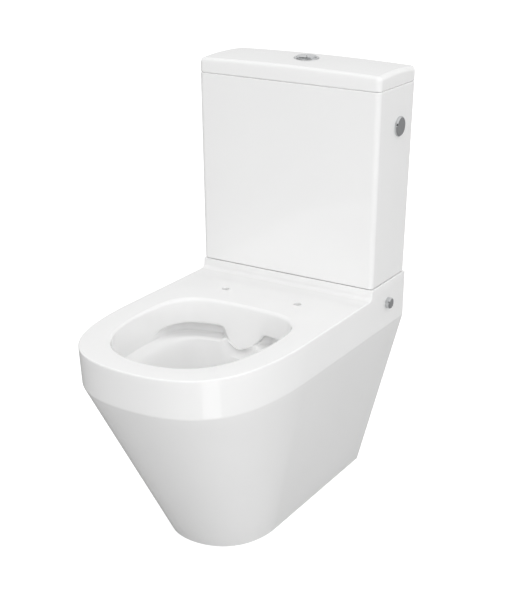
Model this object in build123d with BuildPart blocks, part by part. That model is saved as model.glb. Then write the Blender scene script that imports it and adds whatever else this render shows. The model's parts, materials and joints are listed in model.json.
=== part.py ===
from build123d import *
import os
from math import cos, degrees, hypot, radians, sin, sqrt

os.makedirs("parts", exist_ok=True)

# A close coupled toilet, in millimetres. The floor is z = 0, the wall is on the +Y side, and the
# origin lies on the floor in the middle of the depth. The bowl's nose points to -Y.

# Pan: outside
DEPTH = 656.0  # wall to the tip of the nose
PAN_WIDTH = 370.0
DECK_HEIGHT = 408.0  # floor to the seat deck
RISER_HEIGHT = 19.0  # step behind the deck, which carries the cistern
RISER_DEPTH = 141.0
COVE_RADIUS = 12.0  # where the deck turns up into the riser
BAND_HEIGHT = 71.0  # upright band around the rim
BAND_DRAFT = 9.5  # how far the band leans in at the nose
NOSE_LENGTH = 269.0  # rounded part of the pan, seen from above
NOSE_FULLNESS = 0.72  # 0.55 is a plain ellipse, more is squarer
BASE_WIDTH = 200.0
BASE_SETBACK = 199.0  # nose tip to the front of the foot
BASE_NOSE_LENGTH = 119.0
BASE_FULLNESS = 0.61
CREASE_RADIUS = 14.0  # under the band
RIM_EDGE_RADIUS = 4.0
JOINT_EDGE_RADIUS = 1.5  # edges along the joint lines of the china
PAN_WALL = 10.0
FOOT_WALL = 14.0
DECK_THICKNESS = 13.0

# Pan: bowl
RIM_WIDTH = 50.5  # beside the opening
NOSE_RIM_WIDTH = 49.0  # in front of the opening
OPENING_LENGTH = 315.0
OPENING_RADIUS = 10.0
FRONT_FULLNESS = 0.66
REAR_FULLNESS = 0.85
WIDEST_SHARE = 0.59  # place of the widest line between front and rear
SHELL_WALL = 10.0
UPPER_WALL_HEIGHT = 62.0  # deck to the ledge
UPPER_WALL_INSET = 3.0
LEDGE_DROP = 17.0
LEDGE_WIDTH = 22.0
SUMP_FLOOR = 118.0
# Lower bowl: share of the height between sump and ledge, then insets at side, rear and front
BOWL_LEVELS = (
    (1.00, -2.5, -7.0, -4.0),
    (0.79, 6.5, -3.0, 20.0),
    (0.56, 23.5, 2.0, 63.0),
    (0.32, 44.5, 8.0, 128.0),
    (0.06, 60.5, 17.0, 159.0),
    (0.00, 69.5, 26.0, 172.0),
)

# Pan: water ways
RECESS_DEPTH = 34.0  # room for the flush water behind the rear skirt
RECESS_SIDE = 7.0  # the same at the sides, where the recess runs out
RECESS_HEIGHT = 46.0
RECESS_DROP = 24.0  # deck to the ceiling of the recess
RECESS_REACH = 93.0  # how far the recess runs forward from the rear of the opening
RECESS_FULLNESS = 0.92
SKIRT_THICKNESS = 9.0
SKIRT_DROP = 48.5  # deck to the lower edge of the skirt
LOBE_DROP = 79.5  # deck to the tip of the splash lobe
LOBE_HALF_WIDTH = 35.0
LOBE_SHOULDER = 54.0  # half width where the lobe meets the skirt edge
DUCT_WIDTH = 84.0
DUCT_HEIGHT = 34.0
TRAP_RADIUS = 38.0
TRAP_WALL = 10.0
TRAP_BEND = 55.0
TRAP_DIP = 60.6  # height of the lower corner of the trap's centre line
TRAP_ENTRY_RUN = 77.0  # start of the centre line in the sump to the dip
TRAP_ENTRY_RISE = 92.0
TRAP_CREST = 244.2
TRAP_RISE_SHARE = 0.398  # of the way from the dip to the end of the outlet, up to the crest
TRAP_DIP_SETBACK = 16.0  # rear of the opening to the dip
TRAP_FALL_SHARE = 0.3855
OUTLET_HEIGHT = 180.0
OUTLET_RADIUS = 51.0
OUTLET_LENGTH = 46.0
OUTLET_SETBACK = 20.0  # end of the outlet to the wall

# Pan: holes
SEAT_HOLE_SPACING = 155.0
SEAT_HOLE_RADIUS = 7.5
SEAT_HOLE_SETBACK = 90.0  # riser to the seat holes
VALVE_SETBACK = 77.0  # wall to the axis of the flush valve and of the button
INLET_RADIUS = 33.0
GASKET_RECESS_RADIUS = 55.0
GASKET_RECESS_DEPTH = 24.0
TANK_BOLT_SPACING = 160.0
TANK_BOLT_RADIUS = 4.0
TANK_BOLT_HOLE_RADIUS = 6.0
FIXING_SETBACK = 73.0  # wall to the side fixing
FIXING_DROP = 24.0  # deck to the side fixing
FIXING_SCREW_RADIUS = 4.0
FIXING_HOLE_RADIUS = 5.0

# Cistern
TANK_GAP = 1.5  # rubber pads between riser and tank
TANK_WIDTH_BOTTOM = 366.0
TANK_WIDTH_TOP = 375.0
TANK_DEPTH_BOTTOM = 140.0
TANK_DEPTH_TOP = 152.0
TANK_HEIGHT = 366.5
TANK_SETBACK = 1.0  # wall to the back of the tank
TANK_CORNER_BOTTOM = 8.0
TANK_CORNER_TOP = 10.0
TANK_WALL = 9.0
TANK_FLOOR = 12.0
VALVE_HOLE_CLEARANCE = 1.0
SIDE_INLET_SETBACK = 64.0  # wall to the side inlets
SIDE_INLET_HEIGHT = 293.0  # above the bottom of the tank
SIDE_INLET_RADIUS = 11.0
PAD_LENGTH = 24.0
PAD_WIDTH = 12.0
PAD_SPACING_X = 296.0
PAD_SPACING_Y = 96.0

# Lid
LID_HEIGHT = 34.0  # joint line to the top of the dome
LID_CROWN_X = 3.5  # fall of the dome from the middle to the ends
LID_CROWN_Y = 3.5
LID_EDGE_RADIUS = 8.5
LID_SHADOW_GAP = 1.2  # the outer edge of the lid hangs this much above the tank
LID_SHADOW_DEPTH = 3.0
DOME_MARGIN = 1.2  # the dome is cut this much wider than the lid
LID_THICKNESS = 14.0
LIP_DEPTH = 8.0
LIP_THICKNESS = 6.0
LIP_CLEARANCE = 2.0

# Flush button, turned about its own axis as it is on the lid
BUTTON_TURN = 30.0
BUTTON_RADIUS = 18.5
BUTTON_SPLIT = 0.8
BUTTON_THICKNESS = 7.0
BUTTON_RISE = 3.0  # rim of the bezel to the top of the buttons
BUTTON_CLEARANCE = 0.4
BUTTON_EDGE_RADIUS = 2.6
BEZEL_RADIUS = 23.5
BEZEL_HEIGHT = 2.5
BEZEL_EDGE_RADIUS = 1.0
BEZEL_SEAT_DEPTH = 0.6  # flat spot in the dome
BEZEL_SEAT_CLEARANCE = 0.6
SLEEVE_WALL = 1.6
SLEEVE_LENGTH = 30.0
SLEEVE_FLOOR = 3.0
SLEEVE_CLEARANCE = 0.8  # sleeve to the hole in the lid
THREAD_CLEARANCE = 0.2
BUTTON_NUT_RADIUS = 29.0
BUTTON_NUT_HEIGHT = 8.0
RING_NUT_SIDES = 8
ROD_RADIUS = 3.0
ROD_CLEARANCE = 0.4
ROD_OFFSET = 3.0  # beside the split direction, so that both levers pass each other
ROD_TIP_RADIUS = 2.6
ROD_GAP = 0.8  # rod to lever
SPRING_WIRE = 0.9
SPRING_RADIUS = 5.0
SPRING_TURNS = 6
SPRING_GAP = 0.1  # spring ends to their seats

# Flush valve
VALVE_TAIL_RADIUS = 30.0
VALVE_BORE_RADIUS = 25.0
VALVE_TAIL_LENGTH = 36.0
VALVE_FLANGE_RADIUS = 46.0
VALVE_FLANGE_HEIGHT = 6.0
VALVE_WASHER_HEIGHT = 3.0
SEAT_LIP_HEIGHT = 6.0
SEAT_LIP_RADIUS = 29.0
CAGE_HEIGHT = 50.0
PILLAR_RADIUS = 4.0
PILLAR_CIRCLE = 40.0
PILLAR_COUNT = 4
BACKNUT_RADIUS = 42.0
BACKNUT_HEIGHT = 14.0
GASKET_WALL = 10.5
GASKET_CLEARANCE = 0.5
SEAL_RADIUS = 33.0
SEAL_THICKNESS = 5.0
TUBE_RADIUS = 15.0
TUBE_WALL = 2.5
TUBE_CLEARANCE = 0.4
TUBE_FOOT_RADIUS = 27.0
TUBE_FOOT_HEIGHT = 3.0
TUBE_TOP_HEIGHT = 235.0  # overflow edge above the tank floor
TOWER_PLATE_HEIGHT = 6.0
TOWER_PLATE_RADIUS = 46.0
POST_OFFSET = 28.0
POST_WIDTH = 10.0
POST_DEPTH = 8.0
LEVER_PIN_HEIGHT = 259.0  # above the tank floor
LEVER_PIN_RADIUS = 2.0
LEVER_PIN_CLEARANCE = 0.1
LEVER_THICKNESS = 5.0
LEVER_WIDTH = 5.0
LEVER_SIDE = 3.5  # split plane to the lever
LEVER_HUB_RADIUS = 5.5
PAD_ARM = 11.0  # pin to push rod
PAD_HALF_LENGTH = 5.0
PAD_OVERLAP = 5.5  # how far the pad reaches towards the other lever
LIFT_ARM = 26.0  # pin to the stirrup of the tube
LIFT_OVERRUN = 4.0
STIRRUP_THICKNESS = 4.0
STIRRUP_WINDOW = 20.0
STIRRUP_FRAME = 3.0
STIRRUP_HEAD = 4.0
LOST_MOTION_DOWN = 14.5  # room below the resting lever for the rising tube
LOST_MOTION_UP = 14.8  # room above the half flush lever, which the tube doesn't follow
LIFT_GAP = 0.5

# Fill valve in the left side inlet and blanking plug in the right one
SHANK_RADIUS = 10.3
SHANK_BORE_RADIUS = 7.0
SHANK_LENGTH = 34.0  # outside of the tank
SHANK_NECK = 0.3  # the shank is thinner under its locknut
INLET_WASHER_RADIUS = 17.0
INLET_WASHER_HEIGHT = 3.0
INLET_FLANGE_HEIGHT = 4.0
LOCKNUT_RADIUS = 16.0
LOCKNUT_HEIGHT = 9.0
HEXAGON_SIDES = 6
BARREL_RADIUS = 11.5
COLUMN_REACH = 55.0  # outside of the tank wall to the column of the fill valve
COLUMN_RADIUS = 14.0
COLUMN_HEIGHT = 52.0
COLUMN_DROP = 22.0  # column below the inlet axis
CAP_RADIUS = 16.0
CAP_HEIGHT = 8.0
CAP_LUG_HEIGHT = 18.0
CAP_LUG_THICKNESS = 4.0
FILL_TUBE_RADIUS = 9.0
FILL_TUBE_WALL = 2.0
FILL_TUBE_LENGTH = 225.0
FLOAT_WIDTH = 80.0
FLOAT_DEPTH = 62.0
FLOAT_HEIGHT = 70.0
FLOAT_WALL = 2.5
FLOAT_CORNER = 10.0
FLOAT_CLEARANCE = 2.0
FLOAT_DROP = 70.0  # fill valve column to the top of the empty tank's float
FLOAT_OFFSET = 9.0  # column to the middle of the float
FLOAT_ROD_RADIUS = 2.0
FLOAT_ROD_TOP = 12.0  # above the arm
ARM_LENGTH = 39.6  # arm pin to float rod
ARM_OVERRUN = 14.0
ARM_WIDTH = 12.0
ARM_THICKNESS = 4.0
ARM_SLOT_WIDTH = 5.4
ARM_SLOT_LENGTH = 17.0
ARM_SLOT_SHIFT = 2.5
ARM_PIN_RADIUS = 2.0
ARM_PIN_CLEARANCE = 0.1
ARM_SIDE_GAP = 0.5
ARM_HUB_RADIUS = 4.0
ARM_PIN_RISE = 8.0  # cap to the arm pin
COLLAR_RADIUS = 4.0
COLLAR_HEIGHT = 4.0
COLLAR_GAP = 1.5
PLUG_RADIUS = 18.5
PLUG_THICKNESS = 5.0
PLUG_BEVEL = 2.0

# Fixings
BOLT_WASHER_RADIUS = 12.0
BOLT_RUBBER_HEIGHT = 4.0
BOLT_PLATE_HEIGHT = 1.5
BOLT_HEAD_RADIUS = 7.5
BOLT_HEAD_HEIGHT = 6.0
BOLT_CLEARANCE = 0.2
BOLT_TAIL = 14.0  # below the wing nut's seat
WING_HUB_RADIUS = 8.0
WING_HUB_HEIGHT = 10.0
WING_SPAN = 30.0
WING_THICKNESS = 3.0
WING_HEIGHT = 11.0
WING_DROP = 3.0
FIXING_CAP_RADIUS = 10.5
FIXING_CAP_HEIGHT = 9.0
FIXING_CAP_WALL = 1.5
FIXING_CAP_EDGE = 2.5
FIXING_HEAD_RADIUS = 7.5
FIXING_HEAD_HEIGHT = 5.0
FIXING_SCREW_LENGTH = 26.0
BRACKET_THICKNESS = 4.0
BRACKET_HEIGHT = 14.0
BRACKET_LEG = 44.0
BRACKET_OVERRUN = 18.0  # side leg in front of the screw
BRACKET_HOLE_RADIUS = 4.5
BRACKET_HOLE_INSET = 28.0
BRACKET_BOSS_RADIUS = 7.0
BRACKET_BOSS_LENGTH = 10.0

NEAR = 0.1  # tolerance for picking edges by their place

# Places that follow from the sizes
wall_y = DEPTH / 2
nose_y = -DEPTH / 2
pan_half = PAN_WIDTH / 2
band_z = DECK_HEIGHT - BAND_HEIGHT
riser_z = DECK_HEIGHT + RISER_HEIGHT
riser_y = wall_y - RISER_DEPTH
under_deck_z = DECK_HEIGHT - DECK_THICKNESS
under_riser_z = riser_z - DECK_THICKNESS
valve_y = wall_y - VALVE_SETBACK
opening_half = pan_half - RIM_WIDTH
opening_front = nose_y + NOSE_RIM_WIDTH
opening_rear = opening_front + OPENING_LENGTH
ledge_z = DECK_HEIGHT - UPPER_WALL_HEIGHT
bowl_z = ledge_z - LEDGE_DROP
fixing_y = wall_y - FIXING_SETBACK
fixing_z = DECK_HEIGHT - FIXING_DROP
tank_z = riser_z + TANK_GAP
tank_floor_z = tank_z + TANK_FLOOR
joint_z = tank_z + TANK_HEIGHT
tank_back = wall_y - TANK_SETBACK
lid_top_z = joint_z + LID_HEIGHT
seat_z = lid_top_z - BEZEL_SEAT_DEPTH
bezel_top_z = seat_z + BEZEL_HEIGHT
under_lid_z = lid_top_z - LID_THICKNESS
button_top_z = bezel_top_z + BUTTON_RISE
button_bottom_z = button_top_z - BUTTON_THICKNESS
sleeve_radius = BUTTON_RADIUS + BUTTON_CLEARANCE
sleeve_floor_z = seat_z - SLEEVE_LENGTH + SLEEVE_FLOOR
lever_z = tank_floor_z + LEVER_PIN_HEIGHT
inlet_y = wall_y - SIDE_INLET_SETBACK
inlet_z = tank_z + SIDE_INLET_HEIGHT
tank_slope = (TANK_WIDTH_TOP - TANK_WIDTH_BOTTOM) / 2 / TANK_HEIGHT
inlet_x = TANK_WIDTH_BOTTOM / 2 + tank_slope * SIDE_INLET_HEIGHT


def finish(builder, label):
    """Label one sub-part and write it."""
    builder.part.label = label
    export_step(builder.part, f"parts/{label}.step")


def valve_plane(turn, height):
    """Level plane on the valve's axis, turned like the button."""
    angle = radians(BUTTON_TURN + turn)
    return Plane((0, valve_y, height), x_dir=(cos(angle), sin(angle), 0), z_dir=(0, 0, 1))


def lever_plane(turn, height, side):
    """Upright plane across the split of the button, moved sideways along the lever pin."""
    angle = radians(BUTTON_TURN + turn)
    across = Vector(cos(angle), sin(angle), 0)
    along = Vector(-sin(angle), cos(angle), 0)
    origin = Vector(0, valve_y, height) + along * side
    return Plane(origin, x_dir=across, z_dir=-along)


def inlet_plane(side, outward):
    """Plane square to the tank's side wall at its inlet; side is 1 on the right and -1 on the left."""
    slant = hypot(1, tank_slope)
    normal = Vector(side / slant, 0, -tank_slope / slant)
    origin = Vector(side * inlet_x, inlet_y, inlet_z) + normal * outward
    return Plane(origin, x_dir=(0, side, 0), z_dir=normal)


def nose_outline(height, half_width, straight_y, tip_y, fullness):
    """Plan outline with a flat rear at the wall, straight sides and a rounded nose."""
    length = straight_y - tip_y
    with BuildSketch(Plane.XY.offset(height)) as outline:
        with BuildLine():
            Polyline(
                (-half_width, straight_y),
                (-half_width, wall_y),
                (half_width, wall_y),
                (half_width, straight_y),
            )
            Bezier(
                (half_width, straight_y),
                (half_width, straight_y - fullness * length),
                (fullness * half_width, tip_y),
                (0, tip_y),
            )
            Bezier(
                (0, tip_y),
                (-fullness * half_width, tip_y),
                (-half_width, straight_y - fullness * length),
                (-half_width, straight_y),
            )
        make_face()
    return outline.sketch


def bowl_outline(height, side_inset, rear_inset, front_inset):
    """Plan outline of the bowl at one height, drawn in from the opening in the deck."""
    half = opening_half - side_inset
    rear = opening_rear - rear_inset
    front = opening_front + front_inset
    widest = front + WIDEST_SHARE * (rear - front)
    rear_reach = widest + REAR_FULLNESS * (rear - widest)
    front_reach = widest + FRONT_FULLNESS * (front - widest)
    rear_half = REAR_FULLNESS * half
    front_half = FRONT_FULLNESS * half
    with BuildSketch(Plane.XY.offset(height)) as outline:
        with BuildLine():
            Bezier((half, widest), (half, rear_reach), (rear_half, rear), (0, rear))
            Bezier((0, rear), (-rear_half, rear), (-half, rear_reach), (-half, widest))
            Bezier((-half, widest), (-half, front_reach), (-front_half, front), (0, front))
            Bezier((0, front), (front_half, front), (half, front_reach), (half, widest))
        make_face()
    return outline.sketch


def bowl_hollow(wall, top):
    """The bowl's inside, or with a wall added its outside, as one solid."""
    upper = UPPER_WALL_INSET - wall
    inner = upper + LEDGE_WIDTH
    rim = bowl_outline(top, -wall, -wall, -wall)
    ledge = bowl_outline(ledge_z - wall, upper, upper, upper)
    levels = []
    for share, side, rear, front in BOWL_LEVELS:
        level_z = SUMP_FLOOR + share * (bowl_z - SUMP_FLOOR) - wall
        levels.append(bowl_outline(level_z, inner + side, inner + rear, inner + front))
    with BuildPart() as hollow:
        loft([rim, ledge], ruled=True)
        loft([ledge, levels[0]], ruled=True)
        loft(levels)
    return hollow.part


def rear_outline(height, rear_grow, side_grow):
    """Rear part of the opening's outline, grown outwards, for the recess and its skirt."""
    start_y = opening_rear - RECESS_REACH
    rear = opening_rear + rear_grow
    half = opening_half + side_grow
    reach = start_y + RECESS_FULLNESS * (rear - start_y)
    rear_half = RECESS_FULLNESS * half
    with BuildSketch(Plane.XY.offset(height)) as outline:
        with BuildLine():
            Bezier((half, start_y), (half, reach), (rear_half, rear), (0, rear))
            Bezier((0, rear), (-rear_half, rear), (-half, reach), (-half, start_y))
            Line((-half, start_y), (half, start_y))
        make_face()
    return outline.sketch


def trap_solid(radius):
    """A round bar along the centre line of the trap."""
    dip_y = opening_rear - TRAP_DIP_SETBACK
    outlet_y = wall_y - OUTLET_SETBACK
    crest_y = dip_y + TRAP_RISE_SHARE * (outlet_y - dip_y)
    fall_y = crest_y + TRAP_FALL_SHARE * (outlet_y - dip_y)
    with BuildPart() as bar:
        with BuildLine(Plane.YZ) as path:
            FilletPolyline(
                (dip_y - TRAP_ENTRY_RUN, TRAP_DIP + TRAP_ENTRY_RISE),
                (dip_y, TRAP_DIP),
                (crest_y, TRAP_CREST),
                (fall_y, OUTLET_HEIGHT),
                (outlet_y, OUTLET_HEIGHT),
                radius=TRAP_BEND,
            )
        with BuildSketch(path.line ^ 0):
            Circle(radius)
        sweep()
    return bar.part


base_tip = nose_y + BASE_SETBACK
base_outline = nose_outline(0, BASE_WIDTH / 2, base_tip + BASE_NOSE_LENGTH, base_tip, BASE_FULLNESS)
straight_y = nose_y + NOSE_LENGTH
band_outline = nose_outline(band_z, pan_half, straight_y, nose_y + BAND_DRAFT, NOSE_FULLNESS)
deck_outline = nose_outline(DECK_HEIGHT, pan_half, straight_y, nose_y, NOSE_FULLNESS)

def skirt_solid():
    """Thin wall at the rear of the bowl that hides the recess, with the splash lobe in the middle."""
    tip_z = DECK_HEIGHT - LOBE_DROP
    edge_z = DECK_HEIGHT - SKIRT_DROP
    blank_drop = LOBE_DROP + SKIRT_THICKNESS
    blank_z = DECK_HEIGHT - blank_drop
    inset = UPPER_WALL_INSET * blank_drop / UPPER_WALL_HEIGHT
    with BuildPart() as skirt:
        add(rear_outline(blank_z, SKIRT_THICKNESS, SKIRT_THICKNESS))
        extrude(amount=blank_drop - RECESS_DROP)
        inside = [bowl_outline(DECK_HEIGHT, 0, 0, 0), bowl_outline(blank_z, inset, inset, inset)]
        loft(inside, ruled=True, mode=Mode.SUBTRACT)
        with BuildSketch(Plane.XZ):
            with BuildLine():
                Polyline(
                    (LOBE_SHOULDER, edge_z),
                    (pan_half, edge_z),
                    (pan_half, SUMP_FLOOR),
                    (-pan_half, SUMP_FLOOR),
                    (-pan_half, edge_z),
                    (-LOBE_SHOULDER, edge_z),
                )
                lobe_side = (LOBE_HALF_WIDTH, edge_z)
                lobe_foot = (LOBE_HALF_WIDTH, tip_z)
                Bezier((LOBE_SHOULDER, edge_z), lobe_side, lobe_foot, (0, tip_z))
                Bezier(
                    (0, tip_z),
                    (-LOBE_HALF_WIDTH, tip_z),
                    (-LOBE_HALF_WIDTH, edge_z),
                    (-LOBE_SHOULDER, edge_z),
                )
            make_face()
        extrude(amount=DEPTH, both=True, mode=Mode.SUBTRACT)
    return skirt.part


with BuildPart() as pan:
    loft([base_outline, band_outline], ruled=True)
    loft([band_outline, deck_outline], ruled=True)
    with BuildSketch(Plane.YZ):
        with BuildLine():
            Polyline(
                (riser_y - COVE_RADIUS, DECK_HEIGHT),
                (riser_y - COVE_RADIUS, band_z),
                (wall_y, band_z),
                (wall_y, riser_z),
                (riser_y, riser_z),
                (riser_y, DECK_HEIGHT + COVE_RADIUS),
            )
            RadiusArc(
                (riser_y, DECK_HEIGHT + COVE_RADIUS),
                (riser_y - COVE_RADIUS, DECK_HEIGHT),
                COVE_RADIUS,
            )
        make_face()
    extrude(amount=pan_half, both=True)
    side_edges = pan.edges().filter_by(lambda e: abs(abs(e.center().X) - pan_half) < NEAR)
    nose_edges = pan.edges().filter_by(lambda e: e.center().Y < base_tip)
    crease = (side_edges + nose_edges).filter_by(lambda e: abs(e.center().Z - band_z) < NEAR)
    fillet(crease, radius=CREASE_RADIUS)
    side_edges = pan.edges().filter_by(lambda e: abs(abs(e.center().X) - pan_half) < NEAR)
    nose_edges = pan.edges().filter_by(lambda e: e.center().Y < base_tip)
    rim = (side_edges + nose_edges).filter_by(
        lambda e: DECK_HEIGHT - NEAR < e.center().Z < riser_z - NEAR and e.center().Y < riser_y + NEAR
    )
    fillet(rim, radius=RIM_EDGE_RADIUS)
    # The shroud is a shell that is open underneath and towards the wall
    void_base = nose_outline(
        0, BASE_WIDTH / 2 - FOOT_WALL, base_tip + BASE_NOSE_LENGTH, base_tip + FOOT_WALL, BASE_FULLNESS
    )
    void_tip = nose_y + BAND_DRAFT + PAN_WALL
    void_band = nose_outline(band_z, pan_half - PAN_WALL, straight_y, void_tip, NOSE_FULLNESS)
    void_deck = nose_outline(under_deck_z, pan_half - PAN_WALL, straight_y, void_tip, NOSE_FULLNESS)
    loft([void_base, void_band], ruled=True, mode=Mode.SUBTRACT)
    loft([void_band, void_deck], ruled=True, mode=Mode.SUBTRACT)
    # Pocket under the riser around the boss of the flush inlet
    with BuildSketch(Plane.XY.offset(under_deck_z)):
        with Locations((0, (riser_y + PAN_WALL + wall_y) / 2)):
            Rectangle(PAN_WIDTH - 2 * PAN_WALL, RISER_DEPTH - PAN_WALL)
        with Locations((0, valve_y)):
            Circle(GASKET_RECESS_RADIUS + PAN_WALL, mode=Mode.SUBTRACT)
    extrude(amount=under_riser_z - under_deck_z, mode=Mode.SUBTRACT)
    # Bowl shell, trap, outlet spigot and flush duct are all of one casting with the shroud
    add(bowl_hollow(SHELL_WALL, under_deck_z))
    add(trap_solid(TRAP_RADIUS + TRAP_WALL))
    with BuildSketch(Plane.XZ.offset(-(wall_y - OUTLET_SETBACK))):
        with Locations((0, OUTLET_HEIGHT)):
            Circle(OUTLET_RADIUS)
    extrude(amount=OUTLET_LENGTH)
    duct_z = DECK_HEIGHT - RECESS_DROP - DUCT_HEIGHT / 2
    duct_back = valve_y + INLET_RADIUS
    with BuildSketch(Plane.XZ.offset(-duct_back - PAN_WALL)):
        with Locations((0, duct_z)):
            Rectangle(DUCT_WIDTH + 2 * PAN_WALL, DUCT_HEIGHT + 2 * PAN_WALL)
    extrude(amount=duct_back - opening_rear)
    # Walls of the recess behind the rear of the bowl
    recess_top = DECK_HEIGHT - RECESS_DROP
    recess_floor = recess_top - RECESS_HEIGHT
    recess_wall_z = recess_floor - PAN_WALL
    add(rear_outline(recess_wall_z, RECESS_DEPTH + PAN_WALL, RECESS_SIDE + PAN_WALL))
    extrude(amount=under_deck_z - recess_wall_z)
    # Hollows
    add(bowl_hollow(0, DECK_HEIGHT), mode=Mode.SUBTRACT)
    add(trap_solid(TRAP_RADIUS), mode=Mode.SUBTRACT)
    with BuildSketch(Plane.XZ.offset(-duct_back)):
        with Locations((0, duct_z)):
            Rectangle(DUCT_WIDTH, DUCT_HEIGHT)
    extrude(amount=duct_back - opening_rear - SKIRT_THICKNESS, mode=Mode.SUBTRACT)
    add(rear_outline(recess_floor, RECESS_DEPTH, RECESS_SIDE))
    extrude(amount=RECESS_HEIGHT, mode=Mode.SUBTRACT)

    add(skirt_solid())
    opening = pan.edges().filter_by(
        lambda e: abs(e.center().Z - DECK_HEIGHT) < NEAR
        and e.bounding_box().max.X < opening_half + NEAR
        and e.bounding_box().min.X > -opening_half - NEAR
        and e.bounding_box().max.Y < opening_rear + NEAR
    )
    fillet(opening, radius=OPENING_RADIUS)
    # Flush inlet with the recess for the coupling gasket
    with BuildSketch(Plane.XY.offset(riser_z)):
        with Locations((0, valve_y)):
            Circle(GASKET_RECESS_RADIUS)
    extrude(amount=-GASKET_RECESS_DEPTH, mode=Mode.SUBTRACT)
    with BuildSketch(Plane.XY.offset(riser_z)):
        with Locations((0, valve_y)):
            Circle(INLET_RADIUS)
    extrude(amount=-(riser_z - duct_z), mode=Mode.SUBTRACT)
    # Seat holes, cistern bolt holes and side fixing holes
    with BuildSketch(Plane.XY.offset(DECK_HEIGHT)):
        with Locations((0, riser_y - SEAT_HOLE_SETBACK)):
            with GridLocations(SEAT_HOLE_SPACING, 0, 2, 1):
                Circle(SEAT_HOLE_RADIUS)
    extrude(amount=-DECK_THICKNESS, mode=Mode.SUBTRACT)
    with BuildSketch(Plane.XY.offset(riser_z)):
        with Locations((0, valve_y)):
            with GridLocations(TANK_BOLT_SPACING, 0, 2, 1):
                Circle(TANK_BOLT_HOLE_RADIUS)
    extrude(amount=-DECK_THICKNESS, mode=Mode.SUBTRACT)
    with BuildSketch(Plane.YZ):
        with Locations((fixing_y, fixing_z)):
            Circle(FIXING_HOLE_RADIUS)
    extrude(amount=pan_half, both=True, mode=Mode.SUBTRACT)
    riser_edges = pan.edges().filter_by(lambda e: abs(e.center().Z - riser_z) < NEAR)
    fillet(riser_edges.filter_by(lambda e: e.center().Y < riser_y + NEAR), radius=JOINT_EDGE_RADIUS)
finish(pan, "pan")


def tank_outline(height, inset, lift=0.0):
    """Plan outline of the tank at a height above its bottom, drawn in by a wall."""
    share = height / TANK_HEIGHT
    width = TANK_WIDTH_BOTTOM + share * (TANK_WIDTH_TOP - TANK_WIDTH_BOTTOM) - 2 * inset
    depth = TANK_DEPTH_BOTTOM + share * (TANK_DEPTH_TOP - TANK_DEPTH_BOTTOM) - 2 * inset
    corner = TANK_CORNER_BOTTOM + share * (TANK_CORNER_TOP - TANK_CORNER_BOTTOM)
    middle = tank_back - inset - depth / 2
    with BuildSketch(Plane.XY.offset(tank_z + height + lift)) as outline:
        with Locations((0, middle)):
            RectangleRounded(width, depth, corner)
    return outline.sketch


with BuildPart() as cistern_tank:
    loft([tank_outline(0, 0), tank_outline(TANK_HEIGHT, 0)], ruled=True)
    bottom_edges = cistern_tank.faces().sort_by(Axis.Z)[0].edges()
    fillet(bottom_edges, radius=JOINT_EDGE_RADIUS)
    top_edges = cistern_tank.faces().sort_by(Axis.Z)[-1].edges()
    fillet(top_edges, radius=JOINT_EDGE_RADIUS)
    inside = [tank_outline(TANK_FLOOR, TANK_WALL), tank_outline(TANK_HEIGHT, TANK_WALL)]
    loft(inside, ruled=True, mode=Mode.SUBTRACT)
    with BuildSketch(Plane.XY.offset(tank_z)):
        with Locations((0, valve_y)):
            Circle(VALVE_TAIL_RADIUS + VALVE_HOLE_CLEARANCE)
            with GridLocations(TANK_BOLT_SPACING, 0, 2, 1):
                Circle(TANK_BOLT_HOLE_RADIUS)
    extrude(amount=TANK_FLOOR, mode=Mode.SUBTRACT)
    for side in (-1, 1):
        with BuildSketch(inlet_plane(side, TANK_WALL)):
            Circle(SIDE_INLET_RADIUS)
        extrude(amount=-3 * TANK_WALL, mode=Mode.SUBTRACT)
finish(cistern_tank, "cistern_tank")

lid_middle = tank_back - TANK_DEPTH_TOP / 2
crown_x_radius = (TANK_WIDTH_TOP / 2) ** 2 / (2 * LID_CROWN_X)
crown_y_radius = (TANK_DEPTH_TOP / 2) ** 2 / (2 * LID_CROWN_Y)

dome_angle = DOME_MARGIN * TANK_WIDTH_TOP / 2 / crown_x_radius
dome_origin = (0, 0, lid_top_z - crown_x_radius)
dome_start = Plane(dome_origin, x_dir=(0, 1, 0), z_dir=(cos(dome_angle), 0, sin(dome_angle)))
dome_reach = DOME_MARGIN * TANK_DEPTH_TOP / 2
dome_fall = crown_y_radius - sqrt(crown_y_radius**2 - dome_reach**2)

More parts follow.
